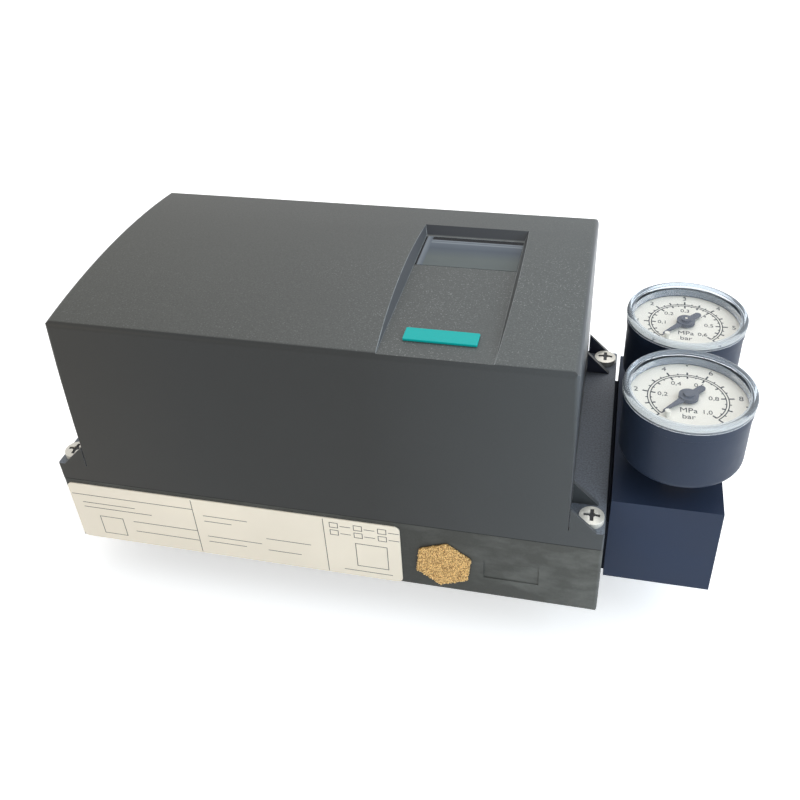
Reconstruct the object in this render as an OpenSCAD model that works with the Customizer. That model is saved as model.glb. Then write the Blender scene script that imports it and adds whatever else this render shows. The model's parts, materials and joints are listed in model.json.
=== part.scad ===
// Electro-pneumatic valve positioner with a two-gauge block.
// Millimetres. Origin on the feedback shaft axis at the rear mounting face, +Z out through the cover,
// +X towards the gauge block, the labelled long side faces -Y.

/* [Housing] */
// Length of the housing along X
housing_l = 184.5; // [178:0.5:196]
// Width of the housing along Y
housing_w = 95; // [93:0.5:104]
// Height of the base from its rear face to the parting line
base_h = 29; // [28.5:0.5:32]
// Thickness of the base floor
base_floor = 5; // [4:0.1:5.5]
// Thickness of the front and back walls of the base
base_wall = 4.5; // [4.2:0.1:5.5]
// Thickness of the end walls of the base
end_wall = 5; // [4.5:0.1:6]
// Radius of the upright corners of base and flange
corner_r = 1.2; // [1:0.1:4]
// Radius of the lower edges of the base
foot_r = 1.5; // [0.5:0.1:3]
// Length of the corner posts that take the cover screws
post_l = 6.25; // [5.5:0.25:7]
// Width of the corner posts that take the cover screws
post_w = 7.5; // [7:0.5:9]

/* [Cover] */
// Height of the cover's long walls above the parting line
cover_side_h = 64.9; // [62:0.1:70]
// Thickness of the cover flange
flange_t = 6.8; // [5.5:0.1:7.5]
// Width of the flange strip at each end of the raised cover
end_ledge = 8.7; // [8.6:0.05:10]
// Rise of the arched cover top from edge to crown
arch_rise = 3.4; // [3:0.1:4.5]
// Inward draft of each cover end over its height
end_draft = 2.4; // [0.5:0.1:3]
// Inward draft of each long cover wall over its height
side_draft = 1.8; // [0.5:0.1:2.5]
// Thickness of the cover walls
cover_wall = 3.5; // [3:0.1:3.8]
// Thickness of the cover top
cover_top = 3; // [2.5:0.1:4]
// Height of an end gusset above the flange
gusset_h = 6.2; // [5:0.1:11]
// Length of an end gusset along the flange
gusset_l = 6.2; // [4:0.1:8]
// Thickness of an end gusset
gusset_t = 1.5; // [1.2:0.1:1.6]
// Distance of the inner gussets from the housing side
gusset_inset = 13; // [12:0.5:20]
// Radius of the rounded edges round the cover top
top_edge_r = 2; // [1:0.1:3]
// Radius of the cover's upright corners
upright_r = 2; // [1:0.1:3]

/* [Window recess] */
// Middle of the window recess along X
recess_x = 40.9; // [36:0.1:48]
// Length of the recess floor along X
recess_l = 33.65; // [32:0.05:38]
// Distance of the recess floor's far end from the back of the housing
recess_back = 21.8; // [19.5:0.1:22.3]
// Flare of the recess side walls from upright, in degrees
recess_flare = 25; // [0:1:40]
// Lean of the far recess wall from upright, in degrees
recess_lean = 56; // [20:1:65]
// Thickness of the pan below the recess floor
pan_t = 3.4; // [3:0.1:4.5]
// Length of the window pane along X
pane_l = 33.2; // [28:0.1:33.4]
// Width of the window pane along Y
pane_w = 19; // [15:0.5:19.5]
// Thickness of the window pane
pane_t = 2; // [1.5:0.1:2.5]
// Strip of floor between the pane and the far end of the recess
pane_gap = 1.2; // [0.8:0.1:3]
// Width of the ledge that carries the pane
pane_ledge = 2; // [1:0.1:3]
// Length of the badge plate along X
badge_l = 21.8; // [15:0.1:28]
// Width of the badge plate along Y
badge_w = 6; // [4:0.1:9]
// Thickness of the badge plate
badge_t = 0.8; // [0.4:0.1:1.5]
// Distance of the badge's middle from the front of the housing
badge_inset = 13; // [9.5:0.5:27]

/* [Cover screws] */
// Distance of a cover screw from the housing end
screw_inset_x = 4.4; // [4.3:0.05:4.6]
// Distance of a cover screw from the housing side
screw_inset_y = 5.8; // [5.7:0.1:6.2]
// Diameter of a cover screw head
screw_head_d = 7.8; // [7:0.1:8]
// Height of a cover screw head
screw_head_h = 2.5; // [1.6:0.1:3]
// Diameter of a cover screw shank
screw_d = 3.9; // [3:0.1:4]
// Depth of a cover screw in its corner post
screw_depth = 14; // [8:1:20]

/* [Front face] */
// Left end of the name label, from the left end of the housing
label_inset = 1; // [0.5:0.1:4]
// Length of the name label
label_l = 119.3; // [90:0.1:125]
// Height of the name label
label_h = 26.4; // [18:0.1:26.8]
// Thickness of the name label
label_t = 0.4; // [0.2:0.1:0.8]
// Radius of the name label corners
label_r = 2; // [0.5:0.5:4]
// Distance of the silencer axis from the right end of the label
silencer_gap = 14.25; // [13:0.05:20]
// Silencer axis above the rear face
silencer_z = 13.1; // [12:0.1:16.5]
// Width across the flats of the silencer
silencer_af = 17; // [14:0.5:19]
// How far the silencer stands out of the front face
silencer_h = 1; // [0.5:0.1:8]
// Turn of the silencer hexagon, in degrees
silencer_turn = 23; // [0:1:59]
// Radius of the silencer thread
silencer_r = 6.5; // [5:0.1:7]
// Length of the bare marking recess along X
mark_l = 17.8; // [8:0.1:24]
// Height of the bare marking recess
mark_h = 7.8; // [4:0.1:12]
// Depth of the bare marking recess
mark_depth = 0.4; // [0.2:0.1:1]
// Gap between silencer axis and the near end of the marking recess
mark_gap = 13.1; // [11.5:0.1:16]
// Height of the marking recess's upper edge above the silencer axis
mark_rise = 3.7; // [0:0.1:6]

/* [Feedback shaft] */
// Diameter of the feedback shaft
shaft_d = 8; // [7:0.5:9]
// How far the shaft stands out of the rear face
shaft_out = 18; // [12:1:30]
// Chamfer at the shaft's outer end
shaft_chamfer = 0.5; // [0.3:0.1:1]
// Width of the relief groove where the shaft leaves the rear face
relief_w = 1; // [0.5:0.1:2]
// Radial running clearance of turning and sliding pieces
run_fit = 0.05; // [0.02:0.01:0.1]
// Wall of the bearing bush
bush_wall = 2.5; // [2:0.1:3]
// Height of the shaft and insert bosses above the rear face
boss_h = 16; // [15.5:0.5:17]
// Module of the shaft gear and its pinion
gear_module = 0.8; // [0.7:0.1:0.9]
// Teeth of the shaft gear
gear_teeth = 45; // [36:3:45]
// Teeth of the potentiometer pinion
pinion_teeth = 15; // [15:1:18]
// Thickness of the shaft gear
gear_t = 3; // [2:0.1:4]
// Diameter of the potentiometer
pot_d = 17; // [14:0.5:20]

/* [Rear mounting] */
// Spacing of the rear inserts along X
rear_spacing_x = 50; // [46:1:54]
// Spacing of the rear inserts along Y
rear_spacing_y = 29; // [27:1:34]
// Thread radius of a rear insert
insert_r = 3.4; // [2.5:0.1:4]
// Outer radius of a rear insert
insert_body_r = 5.6; // [5:0.1:6]
// Length of a rear insert
insert_l = 14; // [10:0.5:14.5]

/* [Gauge block] */
// Length of the gauge block along X
block_l = 33.6; // [30:0.1:40]
// Width of the gauge block along Y
block_w = 77.4; // [74:0.1:80]
// Height of the gauge block
block_h = 34.4; // [30:0.1:36]
// Underside of the gauge block above the rear face
block_z = 3.9; // [2:0.1:5]
// Middle of the gauge block along Y
block_y = 3.7; // [0:0.1:5]
// Thickness of the gasket between housing and gauge block
block_gasket_t = 1.2; // [0.8:0.1:2]
// Radius of a compressed-air port in the block's outer face
port_r = 5.9; // [5:0.1:6.5]
// Depth of a compressed-air port
port_depth = 16; // [12:0.5:18]
// Height of the ports above the rear face
port_z = 20; // [17:0.5:22]
// Distance of the gauge axes from the block's outer face
gauge_inset = 14; // [12:0.5:16]

/* [Gauges] */
// Distance between the two gauge axes
gauge_pitch = 41; // [40:0.5:46]
// Outer radius of the clear bezel
lens_r = 19.75; // [19.6:0.05:19.9]
// Height of the clear bezel above the case
lens_h = 2.5; // [2:0.1:4]
// Height of the gauge case
case_h = 22.85; // [21:0.05:24]
// Outer radius of the gauge case
case_r = 19.1; // [18.6:0.1:19.3]
// Wall of the gauge case
case_wall = 1.4; // [1.2:0.1:1.5]
// Radius of the case's lower edge
case_edge_r = 3; // [1:0.5:5]
// Height of the stem collar between block and case
stem_gap = 8.35; // [7:0.05:14]
// Width across the flats of the stem collar
stem_af = 14; // [12:0.5:17]
// Depth of the dial face below the top of the bezel
dial_drop = 4.9; // [4.4:0.1:6]
// Reach of the pointer tip from its axis
pointer_l = 11; // [9:0.1:13]
// Angle of the pointer at zero, in degrees from +X
pointer_zero = 228; // [222:1:232]
// Sweep of the pointer, in degrees
pointer_sweep = 270; // [240:10:270]

/* [Cable entry] */
// Distance of the cable gland's axis from the back of the housing
gland_inset = 26.5; // [26:0.5:29.5]
// Distance of the blanking plug's axis from the front of the housing
plug_inset = 30.5; // [27.5:0.5:37.5]
// Height of both entries above the rear face
gland_z = 16; // [15.2:0.1:17]
// Radius of the entry thread
gland_r = 9.9; // [8:0.1:10]
// Width across the flats of the gland
gland_af = 24; // [22:0.5:25]
// Radius of the cable hole in the gland
cable_r = 4.5; // [3:0.1:6]

/* [Electronics] */
// Height of the board carrier above the rear face
carrier_z = 40; // [39:0.5:43]
// Thickness of the board carrier
carrier_t = 2.5; // [2:0.1:3.5]
// Thickness of the circuit boards
board_t = 1.6; // [1:0.1:2]
// Height of the display tower's top above the rear face
tower_z = 84; // [82:0.5:85.5]
// Wall of the display tower
tower_wall = 2; // [1.5:0.1:2.5]
// Travel of a push button
button_travel = 1.2; // [0.6:0.1:1.5]
// Radius of a push button
button_r = 3.5; // [2.5:0.1:4]
// Spacing of the push buttons
button_pitch = 10.5; // [9.5:0.5:11.5]
// Number of terminals
terminals = 10; // [6:1:10]
// Pitch of the terminals
terminal_pitch = 6; // [5:0.5:6]

/* [Hidden] */
$fn = 64;

// Small overshoot of a cutter past the face it opens
over = 1;
// Clearance of pieces that are pushed or screwed together and stay put
seat = 0.05;
// Clearance hole round a screw shank
hole_play = 0.3;

// Heights of the housing
flange_z = base_h + flange_t;
edge_z = base_h + cover_side_h;
crown_z = edge_z + arch_rise;
half_l = housing_l / 2;
half_w = housing_w / 2;
inner_x = half_l - end_wall;
inner_y = half_w - base_wall;
post_x = inner_x - post_l;
post_y = inner_y - post_w;
hump_half = half_l - end_ledge;
top_half_w = half_w - side_draft;
arch_r = (top_half_w * top_half_w + arch_rise * arch_rise) / (2 * arch_rise);
arch_z = crown_z - arch_r;
gusset_y = half_w - gusset_inset;
gland_y = half_w - gland_inset;
plug_y = plug_inset - half_w;
// How far blanks stand past the drafted faces that trim them
side_trim = 0.05;
rim_trim = 0.1;
// Half length and half width of the raised cover at a height, with its draft
function end_x(z) = hump_half - end_draft * (z - flange_z) / (edge_z - flange_z);
function side_y(z) = half_w - side_draft * (z - base_h) / cover_side_h;

// Gasket between base and cover
gasket_w = 2;
gasket_inset = 1.2;
gasket_depth = 1.5;

// Cover screws
screw_x = half_l - screw_inset_x;
screw_y = half_w - screw_inset_y;

// Window recess and pane
recess_far_y = half_w - recess_back;
pane_y = recess_far_y - pane_gap - pane_w / 2;
badge_y = badge_inset - half_w;
badge_r = 0.4;
recess_mouth = arch_rise + over;
recess_far_z = edge_z + recess_mouth;
pane_play = 0.15;

// Label and silencer on the front face
label_x0 = label_inset - half_l;
label_x1 = label_x0 + label_l;
label_drop = 0.4;
silencer_x = label_x1 + silencer_gap;
silencer_boss_w = 3;
silencer_boss_l = 4;

// Feedback shaft train, from the rear face upwards
shaft_r = shaft_d / 2;
neck_r = shaft_r - 1;
bush_r = shaft_r + run_fit + bush_wall;
seal_h = 3;
seal_z = 0.5;
seal_play = 0.3;
bush_z = seal_z + seal_h + 0.5;
bush_flange_t = 1.2;
bush_flange_r = bush_r + 1.5;
ring_z = boss_h + bush_flange_t + 0.3;
ring_t = 1;
ring_w = 2;
groove_r = shaft_r - 0.6;
gear_z = ring_z + ring_t + 1.5;
hub_h = gear_t + 3;
hub_r = shaft_r + 3;
boss_r = bush_r + 3.5;
gear_r = gear_teeth * gear_module / 2;
pinion_r = pinion_teeth * gear_module / 2;
mesh_play = 0.15;
tooth_play = 0.12;
mesh_x = gear_r + pinion_r + mesh_play;
pinion_shaft_r = 3;
pinion_over = 0.5;
pot_bore = 8;
selector_gap = 6;
selector_y = pot_d / 2 + selector_gap;
selector_shaft_r = 2;
selector_r = 5;
selector_h = 3.5;
selector_lift = 0.4;
selector_bar = [4.5, 2, 1.5];
bar_sink = 0.5;
pot_z = gear_z + gear_t + 3;
wheel_t = 4.2;
wheel_r = 8;
wheel_notches = 24;
notch_r = 0.8;
notch_out = 0.3;
board_z = carrier_z + carrier_t;
board_top = board_z + board_t;
wheel_z = board_top + 1.7;
shaft_top = wheel_z + wheel_t + 0.6;
shoulder_z = wheel_z - 0.3;

// Rear inserts
insert_boss_r = insert_body_r + 1.9;

// Pneumatic block inside the right end
pneu_gap = 1.75;
pneu_x = rear_spacing_x / 2 + insert_boss_r + pneu_gap;
pneu_l = inner_x - pneu_x;
pneu_w = 2 * (post_y - 1.5);
pneu_top = base_h - 1;
pneu_post_r = 4;
valve_l = 22;
valve_w = 14;
valve_room = 5;
valve_h = carrier_z - pneu_top - valve_room;
valve_y = 12;
valve_inset = 6;
valve_rim = 2;
valve_dish = 1;

// Boards and their screws
carrier_end_gap = 2;
carrier_side_gap = 5;
carrier_half_l = hump_half - cover_wall - carrier_end_gap;
carrier_half_w = inner_y - carrier_side_gap;
left_post_inset = [7, 5];
left_post_x = -(carrier_half_l - left_post_inset[0]);
left_post_y = carrier_half_w - left_post_inset[1];
right_post_inset = [4, 4.5];
right_post_x = carrier_half_l - right_post_inset[0];
right_post_y = pneu_w / 2 - right_post_inset[1];
post_r = 4;
fixing_r = 1.5;
fixing_depth = 10;
fixing_head_r = 2.8;
fixing_head_h = 2;
fixing_tip = 1;
board_inset = 1;
shaft_room = 2;

// Display tower below the window
tower_l = 42;
tower_w = 54;
tower_reach = 15;
tower_y1 = pane_y + tower_reach;
tower_y0 = tower_y1 - tower_w;
switch_h = 3.5;
button_lip = 1.2;
button_lip_gap = 0.4;
button_lip_r = button_r + 0.8;
button_top = tower_z + 2;
button_gap = 27;
button_y = pane_y - button_gap;
switch_w = 6;
lcd_frame = 1;
display_play = 0.1;
lip_z = tower_z - tower_wall - button_lip_gap - button_lip;
switch_top = lip_z - button_travel - 0.1;
display_board_z = switch_top - switch_h - board_t;
display_rib = 2;
lcd_l = 31;
lcd_w = 17.5;

// Terminals
terminal_l = 18;
terminal_h = 14;
terminal_end = 2;
terminal_w = terminals * terminal_pitch + 2 * terminal_end;
terminal_top = board_top + terminal_h;
terminal_gap = 1;
terminal_x = left_post_x + fixing_head_r + terminal_gap;
terminal_step_l = 5;
terminal_step_h = 4;
terminal_mouth = [5, 3.6, 4];
terminal_screw_r = 2;
terminal_screw_h = 5;
terminal_screw_sink = 1;
terminal_screw_z = terminal_h - terminal_screw_h - terminal_screw_sink;
terminal_mouth_z = 2;
terminal_slot_w = 0.6;
terminal_slot_depth = 0.8;

// Earth screw on the base floor
earth_inset_x = 30;
earth_inset_y = 7;
earth_x = earth_inset_x - inner_x;
earth_y = earth_inset_y - inner_y;
earth_boss_h = 4;
earth_depth = 7;
earth_z = base_floor + earth_boss_h;
earth_head_r = fixing_head_r + 1;
earth_head_h = fixing_head_h + 0.5;

// Cable gland and blanking plug
gland_hex_h = 6;
gland_nut_h = 17;
gland_nut_r = gland_af / 2 - 0.5;
gland_neck_r = gland_r - 1;
gland_neck_h = 8;
gland_wall = 2;
gland_seal_z = 2;
gland_nut_z = gland_hex_h + 0.2;
gland_nut_room = 0.5;
gland_nose_h = 7;
gland_nose_r = cable_r + 3;
gland_mouth_r = cable_r + 0.6;
plug_r = gland_r + 1.6;
plug_h = 3.5;
plug_slot_w = 2;
plug_slot_depth = 1.5;

// Gauge block and gauges
block_x0 = half_l + block_gasket_t;
block_x1 = block_x0 + block_l;
block_top = block_z + block_h;
block_screw_r = 2.5;
block_screw_head_r = 4.25;
block_screw_head_h = 5;
block_screw_sink = 1;
block_screw_bite = 9;
block_screw_hole = block_screw_bite + 3;
block_screw_key = 4;
block_key_depth = 4;
pad_inset = 1.5;
screw_below = 8;
screw_above = 4.5;
block_screw_zs = [port_z - screw_below, port_z + screw_above];
air_r = 2;
gauge_x = block_x1 - gauge_inset;
gauge_ys = [block_y - gauge_pitch / 2, block_y + gauge_pitch / 2];
case_z = block_top + stem_gap;
lip_r = case_r + 0.3;
lip_h = 3;
case_floor = 1.5;
stem_r = 4.4;
stem_depth = 10;
stem_end = 0.5;
stem_neck_r = 5;
movement_z = 6;
plate_t = 1;
plate_gap = 6;
plate_r = 10.4;
tube_r = 12;
tube_t = 2;
tube_h = 8;
tube_z = 4;
tube_sweep = 250;
case_inner_r = lip_r - case_wall;
dial_t = 0.8;
dial_top = case_h + lens_h - dial_drop;
dial_play = 0.3;
dial_ledge = 0.9;
dial_r = case_inner_r - dial_play;
ledge_r = dial_r - dial_ledge;
lens_t = 1.2;
lens_edge_r = 0.8;
lens_rim_w = 1.6;
lens_rim_h = 0.5;
lens_top = lens_h - lens_rim_h;
skirt_w = 0.5;
skirt_r = case_inner_r - seat;
skirt_h = min(2, case_h - dial_top);
arbor_r = 0.8;
arbor_end = 0.2;
dial_hole = 0.6;
pointer_t = 0.5;
pointer_z = dial_top + 0.9;
pointer_tail = 7;
tail_w = 2.3;
needle_root = 2.5;
needle_tip = 0.5;
hub_below = 0.4;
pointer_hub_r = 3;
pointer_hub_h = 1.2;
pointer_cap_r = 1.7;
pointer_cap_h = 1.5;
stop_pin_r = 0.85;
stop_pin_h = 2.4;
stop_reach = 10.9;
stop_gap = 0.3;
stop_angle = pointer_zero + asin((stop_pin_r + needle_tip / 2 + stop_gap) / stop_reach);
clock_module = 0.25;
clock_teeth = 12;
sector_teeth = 60;
sector_r = sector_teeth * clock_module / 2;
clock_play = 0.04;
pivot_x = -(sector_r + clock_teeth * clock_module / 2 + 0.06);
sector_first = -ceil(pointer_sweep / 30) - 2;
sector_last = 2;
sector_t = 1.5;
sector_z = movement_z + plate_t + 2.2;
sector_hub_r = 1.4;
pinion_over_z = 0.4;
pillar_r = 1.2;
pillar_inset = 2.5;
tube_foot_w = 5;
tube_foot_out = 1;
tube_foot_in = 0.5;

// Gear outlines: involute flanks with pressure angle 20 degrees

pressure = 20;
function polar(r, a) = [r * cos(a), r * sin(a)];
function inv(a) = tan(a) * 180 / PI - a;
function half_tooth(teeth, m, play, r) =
    let (pitch = teeth * m / 2, base = pitch * cos(pressure))
    90 / teeth - play / pitch * 180 / PI + inv(pressure) - inv(acos(min(1, base / r)));
function tooth_radii(teeth, m) =
    let (pitch = teeth * m / 2) [pitch - 1.2 * m, pitch, pitch + 0.85 * m];
function tooth(teeth, m, play, mid) =
    let (rs = tooth_radii(teeth, m))
    concat([for (i = [0 : 2]) polar(rs[i], mid - half_tooth(teeth, m, play, rs[i]))],
        [for (i = [2 : -1 : 0]) polar(rs[i], mid + half_tooth(teeth, m, play, rs[i]))]);
function gear_outline(teeth, m, play, phase) =
    [for (n = [0 : teeth - 1]) each tooth(teeth, m, play, phase + n * 360 / teeth)];
function sector_outline(teeth, m, play, first, last) =
    concat([[0, 0]], [for (n = [first : last]) each tooth(teeth, m, play, n * 360 / teeth)]);

// Shared shapes

module box(from, to) {
    translate(from) cube(to - from);
}

module rounded_plate(l, w, h, r) {
    translate([-l / 2 + r, -w / 2, 0]) cube([l - 2 * r, w, h]);
    translate([-l / 2, -w / 2 + r, 0]) cube([l, w - 2 * r, h]);
    for (x = [-1, 1], y = [-1, 1]) translate([x * (l / 2 - r), y * (w / 2 - r), 0]) cylinder(r = r, h = h);
}

// Outline of a rectangle with rounded corners
module rounded_outline(l, w, r) {
    square([l - 2 * r, w], center = true);
    square([l, w - 2 * r], center = true);
    for (x = [-1, 1], y = [-1, 1]) translate([x * (l / 2 - r), y * (w / 2 - r)]) circle(r = r, $fn = 32);
}

// Cylinder along +X
module along_x(r, l) {
    rotate([0, 90, 0]) cylinder(r = r, h = l);
}

// Block along X whose two lower long edges are rounded
module sled(l, w, h, r) {
    translate([-l / 2, -w / 2 + r, 0]) cube([l, w - 2 * r, h]);
    translate([-l / 2, -w / 2, r]) cube([l, w, h - r]);
    for (y = [-1, 1]) translate([-l / 2, y * (w / 2 - r), r]) rotate([0, 90, 0]) cylinder(r = r, h = l);
}

// Inside outline of the base, stepped in at the four screw posts, grown all round
module notched_plate(grow, h) {
    for (s = [[inner_x, post_y], [post_x, inner_y]])
        translate([-s[0] - grow, -s[1] - grow, 0]) cube([2 * (s[0] + grow), 2 * (s[1] + grow), h]);
}

module ring(r_out, r_in, h) {
    difference() {
        cylinder(r = r_out, h = h);
        translate([0, 0, -over]) cylinder(r = r_in, h = h + 2 * over);
    }
}

module hex(af, h) {
    cylinder(d = af / cos(30), h = h, $fn = 6);
}

module pan_head(r, h) {
    dome = 0.2 * h;
    dome_r = (r * r + dome * dome) / (2 * dome);
    slot = [1.3 * r, 0.28 * r, h];
    slot_z = 0.3 * h;
    difference() {
        intersection() {
            cylinder(r = r, h = h);
            translate([0, 0, h - dome_r]) sphere(r = dome_r);
        }
        for (a = [0, 90]) rotate([0, 0, a]) translate([-slot[0] / 2, -slot[1] / 2, slot_z]) cube(slot);
        translate([0, 0, slot_z]) cylinder(r = slot[1], h = h);
    }
}

module at_corners(x, y) {
    for (i = [-1, 1], j = [-1, 1]) translate([i * x, j * y, 0]) children();
}

module at_fixings(z) {
    for (j = [-1, 1]) {
        translate([left_post_x, j * left_post_y, z]) children();
        translate([right_post_x, j * right_post_y, z]) children();
    }
}

// Frames on the housing faces: local +Z points out of the face

module on_front(x, z) {
    translate([x, -half_w, z]) rotate([90, 0, 0]) children();
}

module on_left_end(y) {
    translate([-half_l, y, gland_z]) rotate([0, -90, 0]) children();
}

module on_block_face(y, z) {
    translate([block_x1, y, z]) rotate([0, 90, 0]) children();
}

// Base and cover

module base_outside() {
    intersection() {
        rounded_plate(housing_l, housing_w, base_h, corner_r);
        sled(housing_l, housing_w, base_h, foot_r);
        rotate([0, 0, 90]) sled(housing_w, housing_l, base_h, foot_r);
    }
}

module base_bosses() {
    cylinder(r = boss_r, h = boss_h);
    at_corners(rear_spacing_x / 2, rear_spacing_y / 2) cylinder(r = insert_boss_r, h = boss_h);
    for (j = [-1, 1]) translate([left_post_x, j * left_post_y, 0]) cylinder(r = post_r, h = carrier_z);
    translate([earth_x, earth_y, 0]) cylinder(r = post_r, h = earth_z);
    on_front(silencer_x, silencer_z) translate([0, 0, -base_wall - silencer_boss_l])
        cylinder(r = silencer_r + silencer_boss_w, h = silencer_boss_l + over);
}

module base_holes() {
    translate([0, 0, -over]) cylinder(r = bush_r + seat, h = boss_h + 2 * over);
    at_corners(rear_spacing_x / 2, rear_spacing_y / 2)
        translate([0, 0, -over]) cylinder(r = insert_body_r + seat, h = insert_l + over);
    at_corners(screw_x, screw_y)
        translate([0, 0, base_h - screw_depth - over])
            cylinder(r = screw_d / 2 + seat, h = screw_depth + 2 * over);
    for (j = [-1, 1]) translate([left_post_x, j * left_post_y, carrier_z - fixing_depth])
        cylinder(r = fixing_r + seat, h = fixing_depth + over);
    translate([earth_x, earth_y, earth_z - earth_depth])
        cylinder(r = fixing_r + seat, h = earth_depth + over);
    on_front(silencer_x, silencer_z) translate([0, 0, -base_wall - silencer_boss_l - over])
        cylinder(r = silencer_r + seat, h = base_wall + silencer_boss_l + 2 * over);
    on_front(silencer_x + mark_gap, silencer_z + mark_rise - mark_h)
        translate([0, 0, -mark_depth]) cube([mark_l, mark_h, mark_depth + over]);
    for (y = [gland_y, plug_y]) on_left_end(y)
        translate([0, 0, -end_wall - over]) cylinder(r = gland_r + seat, h = end_wall + 2 * over);
    for (y = gauge_ys) translate([inner_x - over, y, port_z]) along_x(air_r, end_wall + 2 * over);
    for (z = block_screw_zs)
        translate([inner_x - over, block_y, z]) along_x(block_screw_r + seat, end_wall + 2 * over);
    translate([0, 0, base_h - gasket_depth]) difference() {
        notched_plate(gasket_inset + gasket_w, gasket_depth + over);
        translate([0, 0, -over]) notched_plate(gasket_inset, gasket_depth + 3 * over);
    }
}

module base_housing() color("#565754") difference() {
    union() {
        difference() {
            base_outside();
            translate([0, 0, base_floor]) notched_plate(0, base_h);
        }
        base_bosses();
    }
    base_holes();
}

module cover_gasket() color("#1c1c1c") translate([0, 0, base_h - gasket_depth]) difference() {
    notched_plate(gasket_inset + gasket_w - seat, gasket_depth);
    translate([0, 0, -over]) notched_plate(gasket_inset + seat, gasket_depth + 2 * over);
}

// Long bar between the two drafted sides, with the rounded edges of the cover top
module between_sides() {
    from_z = base_h - over;
    mid_y = side_y(edge_z - top_edge_r) - top_edge_r;
    mid_z = arch_z + sqrt(pow(arch_r - top_edge_r, 2) - mid_y * mid_y);
    arc = [for (a = [0 : 16 : 64]) [mid_y, mid_z] + top_edge_r * [cos(a), sin(a)]];
    // The outline leaves its last arc point above the arch, to end clear of the crown
    above = arc[len(arc) - 1] + 4 * recess_mouth * [-sin(72), cos(72)];
    half = concat([[side_y(from_z), from_z]], arc, [above]);
    rotate([90, 0, 90]) linear_extrude(height = housing_l + 2 * over, center = true)
        polygon(concat(half, [for (i = [len(half) - 1 : -1 : 0]) [-half[i][0], half[i][1]]]));
}

// Arched top as a barrel along X with rounded rims
module arched_barrel() {
    rim_x = end_x(edge_z) + rim_trim;
    arc = [for (a = [0 : 15 : 90]) [arch_r - top_edge_r, rim_x - top_edge_r] + top_edge_r * [sin(a), cos(a)]];
    half = concat([[0, rim_x]], arc);
    translate([0, 0, arch_z]) rotate([0, 90, 0]) rotate_extrude($fn = 360)
        polygon(concat(half, [for (i = [len(half) - 1 : -1 : 0]) [half[i][0], -half[i][1]]]));
}

// Drafted block with rounded upright corners, a little wider than the sides that trim it
module drafted_block() {
    to_z = crown_z + over;
    low = [end_x(base_h), side_y(base_h) + side_trim];
    high = [end_x(to_z), side_y(to_z) + side_trim];
    translate([0, 0, base_h])
        linear_extrude(height = to_z - base_h, scale = [high[0] / low[0], high[1] / low[1]], slices = 1)
            rounded_outline(2 * low[0], 2 * low[1], upright_r);
}

// Outside of the cover: flange, raised part and gussets share the drafted long faces
module cover_outside() {
    intersection() {
        between_sides();
        union() {
            translate([0, 0, base_h]) rounded_plate(housing_l, housing_w + 4 * side_trim, flange_t, corner_r);
            intersection() {
                drafted_block();
                arched_barrel();
            }
            gussets();
        }
    }
}

// Room inside the cover, drawn in by its wall at ends and sides and by its top
module cover_inside() {
    from_z = base_h - over;
    to_z = crown_z;
    low = [end_x(from_z) - cover_wall, side_y(from_z) - cover_wall];
    high = [end_x(to_z) - cover_wall, side_y(to_z) - cover_wall];
    intersection() {
        rotate([90, 0, 0]) linear_extrude(height = housing_w, center = true)
            polygon([[-low[0], from_z], [low[0], from_z], [high[0], to_z], [-high[0], to_z]]);
        rotate([90, 0, 90]) linear_extrude(height = housing_l, center = true)
            polygon([[-low[1], from_z], [low[1], from_z], [high[1], to_z], [-high[1], to_z]]);
        translate([-half_l, 0, arch_z]) rotate([0, 90, 0])
            cylinder(r = arch_r - cover_top, h = housing_l, $fn = 360);
    }
}

// Each gusset runs on into the wall, to fill the rounded upright corner behind it
module gussets() {
    top = gusset_h * (1 + upright_r / gusset_l);
    for (side = [0, 180], y = [-half_w + gusset_t / 2, -gusset_y, gusset_y, half_w - gusset_t / 2])
        rotate([0, 0, side]) translate([hump_half, y, flange_z]) rotate([90, 0, 0])
            linear_extrude(height = gusset_t, center = true)
                polygon([[-upright_r, -over], [gusset_l, -over], [gusset_l, 0], [-upright_r, top]]);
}

// Flared, flat-floored recess that runs out through the front of the arched top
module recess_cut() {
    flare = recess_mouth * tan(recess_flare);
    lean = recess_mouth * tan(recess_lean);
    intersection() {
        translate([recess_x, 0, edge_z]) rotate([90, 0, 0])
            linear_extrude(height = 2 * housing_w, center = true)
                polygon([[-recess_l / 2, 0], [recess_l / 2, 0],
                    [recess_l / 2 + flare, recess_mouth], [-recess_l / 2 - flare, recess_mouth]]);
        rotate([90, 0, 90]) linear_extrude(height = housing_l)
            polygon([[-half_w - over, edge_z], [recess_far_y, edge_z], [recess_far_y + lean, recess_far_z],
                [-half_w - over, recess_far_z]]);
    }
}

module window_hole(l, w, z0, z1) {
    box([recess_x - l / 2, pane_y - w / 2, z0], [recess_x + l / 2, pane_y + w / 2, z1]);
}

module cover() color("#6a6d6b") difference() {
    cover_outside();
    difference() {
        cover_inside();
        box([recess_x - recess_l / 2 - pan_t, -half_w, edge_z - pan_t],
            [recess_x + recess_l / 2 + pan_t, recess_far_y + 2 * pan_t, crown_z]);
    }
    recess_cut();
    window_hole(pane_l + 2 * pane_play, pane_w + 2 * pane_play, edge_z - pane_t, edge_z + over);
    window_hole(pane_l - 2 * pane_ledge, pane_w - 2 * pane_ledge, edge_z - pan_t - over, edge_z);
    at_corners(screw_x, screw_y)
        translate([0, 0, base_h - over]) cylinder(r = screw_d / 2 + hole_play, h = flange_t + 2 * over);
}

module window_pane() color([0.8, 0.85, 0.87, 0.4])
    window_hole(pane_l, pane_w, edge_z - pane_t, edge_z);

module badge_plate() color("#26beb9")
    translate([recess_x, badge_y, edge_z]) rounded_plate(badge_l, badge_w, badge_t, badge_r);

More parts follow.
